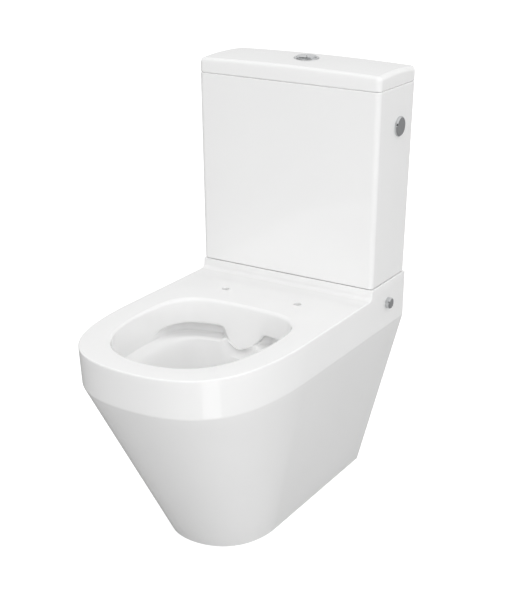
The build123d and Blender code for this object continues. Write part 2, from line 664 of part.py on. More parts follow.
with BuildPart() as cistern_lid:
    add(tank_outline(TANK_HEIGHT, 0, LID_SHADOW_GAP))
    extrude(amount=LID_HEIGHT - LID_SHADOW_GAP)
    # The dome is a wide arc from front to back, carried round a still wider arc from side to side
    with BuildSketch(dome_start):
        with BuildLine():
            ThreePointArc(
                (lid_middle - dome_reach, crown_x_radius - dome_fall),
                (lid_middle, crown_x_radius),
                (lid_middle + dome_reach, crown_x_radius - dome_fall),
            )
            Polyline(
                (lid_middle + dome_reach, crown_x_radius - dome_fall),
                (lid_middle + dome_reach, crown_x_radius + LID_HEIGHT),
                (lid_middle - dome_reach, crown_x_radius + LID_HEIGHT),
                (lid_middle - dome_reach, crown_x_radius - dome_fall),
            )
        make_face()
    crown_axis = Axis(dome_origin, (0, 1, 0))
    revolve(axis=crown_axis, revolution_arc=2 * degrees(dome_angle), mode=Mode.SUBTRACT)
    # Hole and flat seat for the button
    with BuildSketch(valve_plane(0, joint_z)):
        Circle(sleeve_radius + SLEEVE_WALL + SLEEVE_CLEARANCE)
    extrude(amount=2 * LID_HEIGHT, mode=Mode.SUBTRACT)
    with BuildSketch(valve_plane(0, seat_z)):
        Circle(BEZEL_RADIUS + BEZEL_SEAT_CLEARANCE)
    extrude(amount=LID_HEIGHT, mode=Mode.SUBTRACT)
    top_edges = cistern_lid.edges().filter_by(
        lambda e: e.center().Z > lid_top_z - LID_EDGE_RADIUS
        and hypot(e.center().X, e.center().Y - valve_y) > 2 * BEZEL_RADIUS
    )
    fillet(top_edges, radius=LID_EDGE_RADIUS)
    lower_edges = cistern_lid.edges().group_by(Axis.Z)[0].filter_by(
        lambda e: hypot(e.center().X, e.center().Y - valve_y) > 2 * BEZEL_RADIUS
    )
    fillet(lower_edges, radius=JOINT_EDGE_RADIUS)
    # Ring that stands on the tank, then the hollow underside with a lip that keeps the lid in place
    add(tank_outline(TANK_HEIGHT, LID_SHADOW_DEPTH))
    extrude(amount=LID_SHADOW_GAP)
    add(tank_outline(TANK_HEIGHT, TANK_WALL))
    extrude(amount=LID_HEIGHT - LID_THICKNESS, mode=Mode.SUBTRACT)
    lip_inset = TANK_WALL + LIP_CLEARANCE
    lip_height = LIP_DEPTH + LID_HEIGHT - LID_THICKNESS
    add(tank_outline(TANK_HEIGHT, lip_inset, -LIP_DEPTH))
    extrude(amount=lip_height)
    add(tank_outline(TANK_HEIGHT, lip_inset + LIP_THICKNESS, -LIP_DEPTH))
    extrude(amount=lip_height, mode=Mode.SUBTRACT)
finish(cistern_lid, "cistern_lid")

# Flush button in the lid
with BuildPart() as button_bezel:
    with BuildSketch(valve_plane(0, seat_z)):
        Circle(BEZEL_RADIUS)
        Circle(sleeve_radius, mode=Mode.SUBTRACT)
    extrude(amount=BEZEL_HEIGHT)
    rims = button_bezel.edges().group_by(Axis.Z)[-1]
    fillet(rims, radius=BEZEL_EDGE_RADIUS)
finish(button_bezel, "button_bezel")

with BuildPart() as button_sleeve:
    with BuildSketch(valve_plane(0, seat_z)):
        Circle(sleeve_radius + SLEEVE_WALL)
        Circle(sleeve_radius, mode=Mode.SUBTRACT)
    extrude(amount=-SLEEVE_LENGTH)
    with BuildSketch(valve_plane(0, sleeve_floor_z)):
        Circle(sleeve_radius + SLEEVE_WALL)
        with Locations((PAD_ARM, ROD_OFFSET), (-PAD_ARM, -ROD_OFFSET)):
            Circle(ROD_RADIUS + ROD_CLEARANCE, mode=Mode.SUBTRACT)
    extrude(amount=-SLEEVE_FLOOR)
finish(button_sleeve, "button_sleeve")

with BuildPart() as button_nut:
    with BuildSketch(valve_plane(0, under_lid_z)):
        RegularPolygon(BUTTON_NUT_RADIUS, RING_NUT_SIDES)
        Circle(sleeve_radius + SLEEVE_WALL + THREAD_CLEARANCE, mode=Mode.SUBTRACT)
    extrude(amount=-BUTTON_NUT_HEIGHT)
finish(button_nut, "button_nut")


def make_button(turn, label):
    """One half of the split button."""
    with BuildPart() as button:
        with BuildSketch(valve_plane(turn, button_bottom_z)):
            Circle(BUTTON_RADIUS)
            with Locations((BUTTON_SPLIT / 2 - BUTTON_RADIUS, 0)):
                Rectangle(2 * BUTTON_RADIUS, 2 * BUTTON_RADIUS, mode=Mode.SUBTRACT)
        extrude(amount=BUTTON_THICKNESS)
        top_edges = button.edges().group_by(Axis.Z)[-1]
        fillet(top_edges.filter_by(GeomType.CIRCLE), radius=BUTTON_EDGE_RADIUS)
    finish(button, label)


def make_push_rod(turn, label):
    """Rod under one button, with a round tip just above its lever."""
    rod_bottom = lever_z + LEVER_THICKNESS / 2 + ROD_GAP
    with BuildPart() as rod:
        with BuildSketch(valve_plane(turn, rod_bottom)):
            with Locations((PAD_ARM, ROD_OFFSET)):
                Circle(ROD_RADIUS)
        extrude(amount=button_bottom_z - rod_bottom)
        fillet(rod.edges().group_by(Axis.Z)[0], radius=ROD_TIP_RADIUS)
    finish(rod, label)


def make_button_spring(turn, label):
    """Return spring around one push rod, between the sleeve's floor and the button."""
    room = button_bottom_z - sleeve_floor_z
    height = room - SPRING_WIRE - 2 * SPRING_GAP
    start = valve_plane(turn, sleeve_floor_z + SPRING_WIRE / 2 + SPRING_GAP)
    centre = start.from_local_coords((PAD_ARM, ROD_OFFSET, 0))
    with BuildPart() as spring:
        with BuildLine() as coil:
            Helix(height / SPRING_TURNS, height, SPRING_RADIUS, center=centre)
        with BuildSketch(coil.line ^ 0):
            Circle(SPRING_WIRE / 2)
        sweep(is_frenet=True)
    finish(spring, label)


def make_flush_lever(turn, label):
    """Rocking lever: its rod presses one side down, the other side lifts the tube."""
    with BuildPart() as lever:
        with BuildSketch(lever_plane(turn, lever_z, LEVER_SIDE + LEVER_WIDTH)):
            tail = LIFT_ARM + LIFT_OVERRUN
            head = PAD_ARM + PAD_HALF_LENGTH
            with Locations(((head - tail) / 2, 0)):
                Rectangle(head + tail, LEVER_THICKNESS)
            Circle(LEVER_HUB_RADIUS)
            Circle(LEVER_PIN_RADIUS + LEVER_PIN_CLEARANCE, mode=Mode.SUBTRACT)
        extrude(amount=LEVER_WIDTH)
        with BuildSketch(lever_plane(turn, lever_z, LEVER_SIDE + LEVER_WIDTH)):
            with Locations((PAD_ARM, 0)):
                Rectangle(2 * PAD_HALF_LENGTH, LEVER_THICKNESS)
        extrude(amount=LEVER_WIDTH + PAD_OVERLAP)
    finish(lever, label)


for turn, name in ((0, "full"), (180, "half")):
    make_button(turn, f"{name}_flush_button")
    make_push_rod(turn, f"{name}_push_rod")
    make_button_spring(turn, f"{name}_button_spring")
    make_flush_lever(turn, f"{name}_flush_lever")

# Flush valve
flange_z = tank_floor_z + VALVE_WASHER_HEIGHT
cage_z = flange_z + VALVE_FLANGE_HEIGHT
plate_z = cage_z + CAGE_HEIGHT
seal_z = cage_z + SEAT_LIP_HEIGHT
tube_z = seal_z + SEAL_THICKNESS
tube_top_z = tank_floor_z + TUBE_TOP_HEIGHT

with BuildPart() as valve_base:
    with BuildSketch(valve_plane(0, flange_z)):
        Circle(VALVE_TAIL_RADIUS)
    extrude(amount=-VALVE_TAIL_LENGTH)
    with BuildSketch(valve_plane(0, flange_z)):
        Circle(VALVE_FLANGE_RADIUS)
    extrude(amount=VALVE_FLANGE_HEIGHT)
    with BuildSketch(valve_plane(0, cage_z)):
        Circle(SEAT_LIP_RADIUS)
    extrude(amount=SEAT_LIP_HEIGHT)
    with BuildSketch(valve_plane(0, cage_z)):
        with PolarLocations(PILLAR_CIRCLE, PILLAR_COUNT):
            Circle(PILLAR_RADIUS)
    extrude(amount=CAGE_HEIGHT)
    with BuildSketch(valve_plane(0, seal_z)):
        Circle(VALVE_BORE_RADIUS)
    extrude(amount=-(seal_z - flange_z + VALVE_TAIL_LENGTH), mode=Mode.SUBTRACT)
finish(valve_base, "valve_base")

with BuildPart() as valve_washer:
    with BuildSketch(valve_plane(0, tank_floor_z)):
        Circle(VALVE_FLANGE_RADIUS)
        Circle(VALVE_TAIL_RADIUS + VALVE_HOLE_CLEARANCE, mode=Mode.SUBTRACT)
    extrude(amount=VALVE_WASHER_HEIGHT)
finish(valve_washer, "valve_washer")

with BuildPart() as valve_backnut:
    with BuildSketch(valve_plane(0, tank_z)):
        RegularPolygon(BACKNUT_RADIUS, RING_NUT_SIDES)
        Circle(VALVE_TAIL_RADIUS + THREAD_CLEARANCE, mode=Mode.SUBTRACT)
    extrude(amount=-BACKNUT_HEIGHT)
finish(valve_backnut, "valve_backnut")

with BuildPart() as coupling_gasket:
    with BuildSketch(valve_plane(0, tank_z)):
        Circle(BACKNUT_RADIUS + GASKET_CLEARANCE + GASKET_WALL)
        Circle(BACKNUT_RADIUS + GASKET_CLEARANCE, mode=Mode.SUBTRACT)
    extrude(amount=-(TANK_GAP + GASKET_RECESS_DEPTH))
finish(coupling_gasket, "coupling_gasket")

with BuildPart() as valve_tower:
    with BuildSketch(valve_plane(0, plate_z)):
        Circle(TOWER_PLATE_RADIUS)
        Circle(TUBE_RADIUS + TUBE_CLEARANCE, mode=Mode.SUBTRACT)
    extrude(amount=TOWER_PLATE_HEIGHT)
    with BuildSketch(valve_plane(0, plate_z)):
        with GridLocations(0, 2 * POST_OFFSET, 1, 2):
            Rectangle(POST_WIDTH, POST_DEPTH)
    extrude(amount=lever_z + POST_WIDTH / 2 - plate_z)
    with BuildSketch(lever_plane(0, lever_z, POST_OFFSET + POST_DEPTH)):
        Circle(LEVER_PIN_RADIUS + LEVER_PIN_CLEARANCE)
    extrude(amount=2 * (POST_OFFSET + POST_DEPTH), mode=Mode.SUBTRACT)
finish(valve_tower, "valve_tower")

with BuildPart() as lever_pin:
    with BuildSketch(lever_plane(0, lever_z, POST_OFFSET + POST_DEPTH / 2)):
        Circle(LEVER_PIN_RADIUS)
    extrude(amount=2 * POST_OFFSET + POST_DEPTH)
finish(lever_pin, "lever_pin")

with BuildPart() as flush_seal:
    with BuildSketch(valve_plane(0, seal_z)):
        Circle(SEAL_RADIUS)
        Circle(TUBE_RADIUS - TUBE_WALL, mode=Mode.SUBTRACT)
    extrude(amount=SEAL_THICKNESS)
finish(flush_seal, "flush_seal")

with BuildPart() as overflow_tube:
    with BuildSketch(valve_plane(0, tube_z)):
        Circle(TUBE_FOOT_RADIUS)
    extrude(amount=TUBE_FOOT_HEIGHT)
    with BuildSketch(valve_plane(0, tube_z)):
        Circle(TUBE_RADIUS)
    extrude(amount=tube_top_z - tube_z)
    stirrup_width = STIRRUP_WINDOW + 2 * STIRRUP_FRAME
    with BuildSketch(valve_plane(0, tube_top_z)):
        Rectangle(2 * LIFT_ARM + STIRRUP_THICKNESS, stirrup_width)
    extrude(amount=-STIRRUP_THICKNESS)
    window_bottom = lever_z - LEVER_THICKNESS / 2 - LOST_MOTION_DOWN
    lever_top = lever_z + LEVER_THICKNESS / 2
    for side, window_top in ((-1, lever_top + LIFT_GAP), (1, lever_top + LOST_MOTION_UP)):
        with BuildSketch(valve_plane(0, tube_top_z)):
            with Locations((side * LIFT_ARM, 0)):
                Rectangle(STIRRUP_THICKNESS, stirrup_width)
        extrude(amount=window_top + STIRRUP_HEAD - tube_top_z)
        with BuildSketch(valve_plane(0, window_bottom)):
            with Locations((side * LIFT_ARM, 0)):
                Rectangle(2 * STIRRUP_THICKNESS, STIRRUP_WINDOW)
        extrude(amount=window_top - window_bottom, mode=Mode.SUBTRACT)
    with BuildSketch(valve_plane(0, tube_z)):
        Circle(TUBE_RADIUS - TUBE_WALL)
    extrude(amount=tube_top_z - tube_z, mode=Mode.SUBTRACT)
finish(overflow_tube, "overflow_tube")

# Fill valve through the left side of the tank
column_x = COLUMN_REACH - inlet_x
column_z = inlet_z - COLUMN_DROP
cap_z = column_z + COLUMN_HEIGHT
arm_z = cap_z + CAP_HEIGHT + ARM_PIN_RISE
washer_in = -TANK_WALL
flange_in = washer_in - INLET_WASHER_HEIGHT
barrel_in = flange_in - INLET_FLANGE_HEIGHT
column_place = (column_x, inlet_y)

with BuildPart() as fill_valve_body:
    with BuildSketch(inlet_plane(-1, SHANK_LENGTH)):
        Circle(SHANK_RADIUS)
    extrude(amount=LOCKNUT_HEIGHT - SHANK_LENGTH)
    with BuildSketch(inlet_plane(-1, LOCKNUT_HEIGHT)):
        Circle(SHANK_RADIUS - SHANK_NECK)
    extrude(amount=barrel_in - LOCKNUT_HEIGHT)
    with BuildSketch(inlet_plane(-1, flange_in)):
        Circle(INLET_WASHER_RADIUS)
    extrude(amount=-INLET_FLANGE_HEIGHT)
    with BuildSketch(inlet_plane(-1, barrel_in)):
        Circle(BARREL_RADIUS)
    extrude(amount=-(COLUMN_REACH + barrel_in))
    with BuildSketch(Plane.XY.offset(column_z)):
        with Locations(column_place):
            Circle(COLUMN_RADIUS)
    extrude(amount=COLUMN_HEIGHT)
    with BuildSketch(inlet_plane(-1, SHANK_LENGTH)):
        Circle(SHANK_BORE_RADIUS)
    extrude(amount=-(SHANK_LENGTH + COLUMN_REACH), mode=Mode.SUBTRACT)
    with BuildSketch(Plane.XY.offset(column_z)):
        with Locations(column_place):
            Circle(FILL_TUBE_RADIUS - FILL_TUBE_WALL)
    extrude(amount=COLUMN_DROP, mode=Mode.SUBTRACT)
finish(fill_valve_body, "fill_valve_body")

with BuildPart() as fill_tube:
    with BuildSketch(Plane.XY.offset(column_z)):
        with Locations(column_place):
            Circle(FILL_TUBE_RADIUS)
            Circle(FILL_TUBE_RADIUS - FILL_TUBE_WALL, mode=Mode.SUBTRACT)
    extrude(amount=-FILL_TUBE_LENGTH)
finish(fill_tube, "fill_tube")

with BuildPart() as fill_valve_cap:
    with BuildSketch(Plane.XY.offset(cap_z)):
        with Locations(column_place):
            Circle(CAP_RADIUS)
    extrude(amount=CAP_HEIGHT)
    lug_place = ARM_WIDTH / 2 + ARM_SIDE_GAP + CAP_LUG_THICKNESS / 2
    with BuildSketch(Plane.XY.offset(cap_z + CAP_HEIGHT)):
        with Locations(column_place):
            with GridLocations(0, 2 * lug_place, 1, 2):
                Rectangle(CAP_RADIUS, CAP_LUG_THICKNESS)
    extrude(amount=CAP_LUG_HEIGHT)
    with BuildSketch(Plane.XZ.offset(-inlet_y)):
        with Locations((column_x, arm_z)):
            Circle(ARM_PIN_RADIUS + ARM_PIN_CLEARANCE)
    extrude(amount=CAP_RADIUS, both=True, mode=Mode.SUBTRACT)
finish(fill_valve_cap, "fill_valve_cap")

with BuildPart() as float_arm_pin:
    with BuildSketch(Plane.XZ.offset(-inlet_y)):
        with Locations((column_x, arm_z)):
            Circle(ARM_PIN_RADIUS)
    extrude(amount=lug_place + CAP_LUG_THICKNESS / 2, both=True)
finish(float_arm_pin, "float_arm_pin")

with BuildPart() as float_arm:
    with BuildSketch(Plane.XZ.offset(-inlet_y)):
        with Locations((column_x + (ARM_LENGTH + ARM_OVERRUN) / 2, arm_z)):
            Rectangle(ARM_LENGTH + ARM_OVERRUN, ARM_THICKNESS)
        with Locations((column_x, arm_z)):
            Circle(ARM_HUB_RADIUS)
            Circle(ARM_PIN_RADIUS + ARM_PIN_CLEARANCE, mode=Mode.SUBTRACT)
    extrude(amount=ARM_WIDTH / 2, both=True)
    with BuildSketch(Plane.XY.offset(arm_z)):
        with Locations((column_x + ARM_LENGTH + ARM_SLOT_SHIFT, inlet_y)):
            SlotOverall(ARM_SLOT_LENGTH, ARM_SLOT_WIDTH)
    extrude(amount=ARM_THICKNESS, both=True, mode=Mode.SUBTRACT)
finish(float_arm, "float_arm")

float_top_z = column_z - FLOAT_DROP

with BuildPart() as float_cup:
    with BuildSketch(Plane.XY.offset(float_top_z)):
        with Locations((column_x + FLOAT_OFFSET, inlet_y)):
            RectangleRounded(FLOAT_WIDTH, FLOAT_DEPTH, FLOAT_CORNER)
    extrude(amount=-FLOAT_HEIGHT)
    with BuildSketch(Plane.XY.offset(float_top_z - FLOAT_HEIGHT)):
        with Locations((column_x + FLOAT_OFFSET, inlet_y)):
            hollow_width = FLOAT_WIDTH - 2 * FLOAT_WALL
            hollow_depth = FLOAT_DEPTH - 2 * FLOAT_WALL
            RectangleRounded(hollow_width, hollow_depth, FLOAT_CORNER - FLOAT_WALL)
        with Locations(column_place):
            Circle(FILL_TUBE_RADIUS + FLOAT_CLEARANCE + FLOAT_WALL, mode=Mode.SUBTRACT)
    extrude(amount=FLOAT_HEIGHT - FLOAT_WALL, mode=Mode.SUBTRACT)
    with BuildSketch(Plane.XY.offset(float_top_z)):
        with Locations(column_place):
            Circle(FILL_TUBE_RADIUS + FLOAT_CLEARANCE)
    extrude(amount=-FLOAT_HEIGHT, mode=Mode.SUBTRACT)
finish(float_cup, "float_cup")

with BuildPart() as float_rod:
    rod_place = (column_x + ARM_LENGTH, inlet_y)
    with BuildSketch(Plane.XY.offset(float_top_z)):
        with Locations(rod_place):
            Circle(FLOAT_ROD_RADIUS)
    extrude(amount=arm_z + ARM_THICKNESS / 2 + FLOAT_ROD_TOP - float_top_z)
    with BuildSketch(Plane.XY.offset(arm_z - ARM_THICKNESS / 2 - COLLAR_GAP)):
        with Locations(rod_place):
            Circle(COLLAR_RADIUS)
    extrude(amount=-COLLAR_HEIGHT)
finish(float_rod, "float_rod")


def make_inlet_washer(side, label):
    """Rubber washer inside the tank wall."""
    with BuildPart() as washer:
        with BuildSketch(inlet_plane(side, washer_in)):
            Circle(INLET_WASHER_RADIUS)
            Circle(SHANK_RADIUS + THREAD_CLEARANCE, mode=Mode.SUBTRACT)
        extrude(amount=-INLET_WASHER_HEIGHT)
    finish(washer, label)


def make_locknut(side, outward, direction, label):
    """Hexagon nut on the shank of a side inlet."""
    with BuildPart() as nut:
        with BuildSketch(inlet_plane(side, outward)):
            RegularPolygon(LOCKNUT_RADIUS, HEXAGON_SIDES)
            Circle(SHANK_RADIUS + THREAD_CLEARANCE, mode=Mode.SUBTRACT)
        extrude(amount=direction * LOCKNUT_HEIGHT)
    finish(nut, label)


make_inlet_washer(-1, "inlet_washer")
make_locknut(-1, 0, 1, "inlet_locknut")
make_inlet_washer(1, "plug_washer")
make_locknut(1, flange_in, -1, "plug_locknut")

with BuildPart() as inlet_blanking_plug:
    with BuildSketch(inlet_plane(1, 0)):
        Circle(PLUG_RADIUS)
    extrude(amount=PLUG_THICKNESS)
    chamfer(inlet_blanking_plug.edges().sort_by(Axis.X)[-1], length=PLUG_BEVEL)
    with BuildSketch(inlet_plane(1, 0)):
        Circle(SHANK_RADIUS)
    extrude(amount=flange_in - LOCKNUT_HEIGHT)
finish(inlet_blanking_plug, "inlet_blanking_plug")

# Bolts that hold the cistern on the pan
rubber_z = tank_floor_z + BOLT_RUBBER_HEIGHT
head_z = rubber_z + BOLT_PLATE_HEIGHT
nut_z = under_riser_z - BOLT_PLATE_HEIGHT


def bolt_rings(height, radius, hole):
    """Ring outlines around both cistern bolts."""
    with BuildSketch(Plane.XY.offset(height)) as rings:
        with Locations((0, valve_y)):
            with GridLocations(TANK_BOLT_SPACING, 0, 2, 1):
                Circle(radius)
                if hole:
                    Circle(hole, mode=Mode.SUBTRACT)
    return rings.sketch


bolt_hole = TANK_BOLT_RADIUS + BOLT_CLEARANCE

with BuildPart() as tank_bolts:
    with BuildSketch(Plane.XY.offset(head_z)):
        with Locations((0, valve_y)):
            with GridLocations(TANK_BOLT_SPACING, 0, 2, 1):
                RegularPolygon(BOLT_HEAD_RADIUS, HEXAGON_SIDES)
    extrude(amount=BOLT_HEAD_HEIGHT)
    add(bolt_rings(head_z, TANK_BOLT_RADIUS, 0))
    extrude(amount=nut_z - BOLT_TAIL - head_z)
finish(tank_bolts, "tank_bolts")

with BuildPart() as tank_bolt_washers:
    add(bolt_rings(tank_floor_z, BOLT_WASHER_RADIUS, bolt_hole))
    extrude(amount=BOLT_RUBBER_HEIGHT)
finish(tank_bolt_washers, "tank_bolt_washers")

with BuildPart() as tank_plate_washers:
    for washer_z in (rubber_z, nut_z):
        add(bolt_rings(washer_z, BOLT_WASHER_RADIUS, bolt_hole))
        extrude(amount=BOLT_PLATE_HEIGHT)
finish(tank_plate_washers, "tank_plate_washers")

with BuildPart() as wing_nuts:
    add(bolt_rings(nut_z, WING_HUB_RADIUS, 0))
    extrude(amount=-WING_HUB_HEIGHT)
    with BuildSketch(Plane.XY.offset(nut_z - WING_DROP)):
        with Locations((0, valve_y)):
            with GridLocations(TANK_BOLT_SPACING, 0, 2, 1):
                Rectangle(WING_THICKNESS, WING_SPAN)
    extrude(amount=-WING_HEIGHT)
    add(bolt_rings(nut_z, bolt_hole, 0))
    extrude(amount=-(WING_DROP + WING_HEIGHT), mode=Mode.SUBTRACT)
finish(wing_nuts, "wing_nuts")

with BuildPart() as tank_pads:
    with BuildSketch(Plane.XY.offset(riser_z)):
        with Locations((0, tank_back - TANK_DEPTH_BOTTOM / 2)):
            with GridLocations(PAD_SPACING_X, PAD_SPACING_Y, 2, 2):
                Rectangle(PAD_LENGTH, PAD_WIDTH)
    extrude(amount=TANK_GAP)
finish(tank_pads, "tank_pads")

# Side fixings that pull the pan against the wall brackets
inner_x = pan_half - PAN_WALL


def side_plane(side, outward):
    """Plane at a side fixing, facing away from the pan."""
    return Plane((side * outward, fixing_y, fixing_z), x_dir=(0, side, 0), z_dir=(side, 0, 0))


with BuildPart() as fixing_caps:
    for side in (-1, 1):
        with BuildSketch(side_plane(side, pan_half)):
            Circle(FIXING_CAP_RADIUS)
        extrude(amount=FIXING_CAP_HEIGHT)
    cap_rims = fixing_caps.edges().filter_by(GeomType.CIRCLE)
    outer_rims = cap_rims.filter_by(lambda e: abs(e.center().X) > pan_half + NEAR)
    fillet(outer_rims, radius=FIXING_CAP_EDGE)
    for side in (-1, 1):
        with BuildSketch(side_plane(side, pan_half)):
            Circle(FIXING_CAP_RADIUS - FIXING_CAP_WALL)
        extrude(amount=FIXING_CAP_HEIGHT - FIXING_CAP_EDGE, mode=Mode.SUBTRACT)
finish(fixing_caps, "fixing_caps")

with BuildPart() as fixing_screws:
    for side in (-1, 1):
        with BuildSketch(side_plane(side, pan_half)):
            Circle(FIXING_HEAD_RADIUS)
        extrude(amount=FIXING_HEAD_HEIGHT)
        with BuildSketch(side_plane(side, pan_half)):
            Circle(FIXING_SCREW_RADIUS)
        extrude(amount=-FIXING_SCREW_LENGTH)
finish(fixing_screws, "fixing_screws")

with BuildPart() as fixing_brackets:
    with BuildSketch(Plane.XY.offset(fixing_z - BRACKET_HEIGHT / 2)):
        with BuildLine():
            front = fixing_y - BRACKET_OVERRUN
            Polyline(
                (inner_x, front),
                (inner_x, wall_y),
                (inner_x - BRACKET_LEG, wall_y),
                (inner_x - BRACKET_LEG, wall_y - BRACKET_THICKNESS),
                (inner_x - BRACKET_THICKNESS, wall_y - BRACKET_THICKNESS),
                (inner_x - BRACKET_THICKNESS, front),
                close=True,
            )
        make_face()
    extrude(amount=BRACKET_HEIGHT)
    with BuildSketch(side_plane(1, inner_x - BRACKET_THICKNESS)):
        Circle(BRACKET_BOSS_RADIUS)
    extrude(amount=-BRACKET_BOSS_LENGTH)
    with BuildSketch(side_plane(1, inner_x)):
        Circle(FIXING_SCREW_RADIUS + THREAD_CLEARANCE)
    extrude(amount=-(BRACKET_THICKNESS + BRACKET_BOSS_LENGTH), mode=Mode.SUBTRACT)
    with BuildSketch(Plane.XZ.offset(-wall_y)):
        with Locations((inner_x - BRACKET_HOLE_INSET, fixing_z)):
            Circle(BRACKET_HOLE_RADIUS)
    extrude(amount=BRACKET_THICKNESS, mode=Mode.SUBTRACT)
    mirror(about=Plane.YZ)
finish(fixing_brackets, "fixing_brackets")
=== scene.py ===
# %% [markdown]
# The toilet arrives as a fixed frame of solids. They hold every size and every joint. This lesson dresses
# them: it keeps each solid that is already right, gives it a finish, and replaces the few whose glaze
# needs softer forms than the solids have.

# %% Load the frame
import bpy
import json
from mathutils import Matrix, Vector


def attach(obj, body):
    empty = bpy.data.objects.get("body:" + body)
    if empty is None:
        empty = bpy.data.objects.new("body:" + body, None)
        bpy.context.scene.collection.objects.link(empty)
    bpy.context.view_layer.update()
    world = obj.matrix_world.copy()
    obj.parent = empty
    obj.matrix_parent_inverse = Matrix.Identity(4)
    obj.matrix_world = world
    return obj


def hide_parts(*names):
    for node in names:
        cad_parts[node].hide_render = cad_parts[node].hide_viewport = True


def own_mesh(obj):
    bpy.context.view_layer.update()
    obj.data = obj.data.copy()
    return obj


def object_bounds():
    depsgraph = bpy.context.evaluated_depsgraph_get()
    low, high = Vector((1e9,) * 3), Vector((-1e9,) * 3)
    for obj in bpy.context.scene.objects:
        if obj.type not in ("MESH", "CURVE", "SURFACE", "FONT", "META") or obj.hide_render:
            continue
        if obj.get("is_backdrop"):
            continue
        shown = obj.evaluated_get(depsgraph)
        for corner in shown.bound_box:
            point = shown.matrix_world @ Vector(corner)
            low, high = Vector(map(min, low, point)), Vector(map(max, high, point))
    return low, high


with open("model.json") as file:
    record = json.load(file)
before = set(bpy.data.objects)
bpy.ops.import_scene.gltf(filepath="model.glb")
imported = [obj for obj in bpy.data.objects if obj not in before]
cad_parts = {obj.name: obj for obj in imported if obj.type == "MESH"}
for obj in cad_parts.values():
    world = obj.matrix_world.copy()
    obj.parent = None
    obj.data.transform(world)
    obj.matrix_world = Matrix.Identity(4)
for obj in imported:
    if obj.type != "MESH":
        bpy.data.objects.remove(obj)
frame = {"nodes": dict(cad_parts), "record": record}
cad_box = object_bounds()
nodes = frame["nodes"]

# %% [markdown]
# Blender measures in metres. Sizes are easier to read in millimetres, so one small helper turns a list of
# millimetres into metres. The numbers about the pan repeat the sizes that its solid was made with, because
# its new skin has to fit over the solid.

# %% Tools and the pan's sizes
import json
import math
import bmesh
import bpy
import numpy as np
from mathutils import Matrix, Vector
from mathutils.bvhtree import BVHTree

MM = 0.001


def metres(*values):
    """Millimetres to metres, for one value or several."""
    scaled = [v * MM for v in values]
    return scaled[0] if len(scaled) == 1 else scaled


WALL_Y, NOSE_Y, PAN_HALF = metres(328, -328, 185)
DECK_Z, BAND_Z, RISER_Z, RISER_Y = metres(408, 337, 427, 187)
BASE_HALF, BASE_TIP_Y, BASE_STRAIGHT_Y = metres(100, -129, -10)
STRAIGHT_Y, BAND_TIP_Y = metres(-59, -318.5)
NOSE_FULLNESS, BASE_FULLNESS = 0.72, 0.61
CREASE_R, RIM_R, COVE_R, JOINT_R = metres(14, 2.8, 12, 1.5)
print("pan is", round(2 * PAN_HALF, 3), "wide and", round(WALL_Y - NOSE_Y, 3), "deep")

# %% [markdown]
# A studio for white china is nearly all white. The camera sees a white floor and a white world, mirrors
# see a few grey cards as well, and large soft lamps shape the china, so that it keeps its grey shades.
# The camera stands where the photograph was taken, with a long lens.

# %% Stage and camera
scene = bpy.context.scene
scene.view_settings.view_transform = "Standard"
CAMERA_PLACE = metres(1132.9, -1834.6, 1214.4)
CAMERA_TARGET = metres(-10.4, 79.4, 406.5)
CAMERA_ROLL = math.radians(0.629)
LENS, SENSOR, FAR_CLIP = 76.83, 36.0, 100.0
SHIFT_X, SHIFT_Y = 0.0044, -0.0019


def add_camera():
    """A camera that looks from its place to its target, with a slight roll."""
    data = bpy.data.cameras.new("photo_camera")
    data.lens = LENS
    data.sensor_width = SENSOR
    data.sensor_fit = "AUTO"
    data.shift_x = SHIFT_X
    data.shift_y = SHIFT_Y
    data.clip_end = FAR_CLIP
    camera = bpy.data.objects.new("photo_camera", data)
    scene.collection.objects.link(camera)
    place = Vector(CAMERA_PLACE)
    away = (place - Vector(CAMERA_TARGET)).normalized()
    right = Vector((0, 0, 1)).cross(away).normalized()
    up = away.cross(right)
    turned_right = right * math.cos(CAMERA_ROLL) + up * math.sin(CAMERA_ROLL)
    turned_up = up * math.cos(CAMERA_ROLL) - right * math.sin(CAMERA_ROLL)
    turn = Matrix((turned_right, turned_up, away)).transposed().to_4x4()
    camera.matrix_world = Matrix.Translation(place) @ turn
    scene.camera = camera
    return camera


camera = add_camera()
distance = (Vector(CAMERA_PLACE) - Vector(CAMERA_TARGET)).length
print(camera.name, "stands", round(distance, 3), "m away")


# %% [markdown]
# Node trees are wired in code. One helper makes an empty finish with its surface shader, one adds a noise
# pattern, and three more turn that pattern into a drift of colour, a drift of gloss or small bumps. This
# keeps each finish down to a few readable lines.

# %% Helpers for finishes
NOISE_LOW, NOISE_HIGH = 0.3, 0.7


def new_finish(name):
    """An empty node material with its main shader."""
    finish = bpy.data.materials.new(name)
    finish.use_nodes = True
    tree = finish.node_tree
    tree.nodes.clear()
    output = tree.nodes.new("ShaderNodeOutputMaterial")
    shader = tree.nodes.new("ShaderNodeBsdfPrincipled")
    tree.links.new(shader.outputs["BSDF"], output.inputs["Surface"])
    return finish, tree, shader


def noise_on(tree, scale, detail=3.0):
    """A noise pattern fixed to the piece itself."""
    place = tree.nodes.new("ShaderNodeTexCoord")
    noise = tree.nodes.new("ShaderNodeTexNoise")
    noise.inputs["Scale"].default_value = scale
    noise.inputs["Detail"].default_value = detail
    tree.links.new(place.outputs["Object"], noise.inputs["Vector"])
    return noise.outputs["Fac"]


def colour_between(tree, fac, low, high, socket):
    """A colour that drifts between two near shades."""
    ramp = tree.nodes.new("ShaderNodeValToRGB")
    ramp.color_ramp.elements[0].position = NOISE_LOW
    ramp.color_ramp.elements[0].color = (*low, 1)
    ramp.color_ramp.elements[1].position = NOISE_HIGH
    ramp.color_ramp.elements[1].color = (*high, 1)
    tree.links.new(fac, ramp.inputs["Fac"])
    tree.links.new(ramp.outputs["Color"], socket)


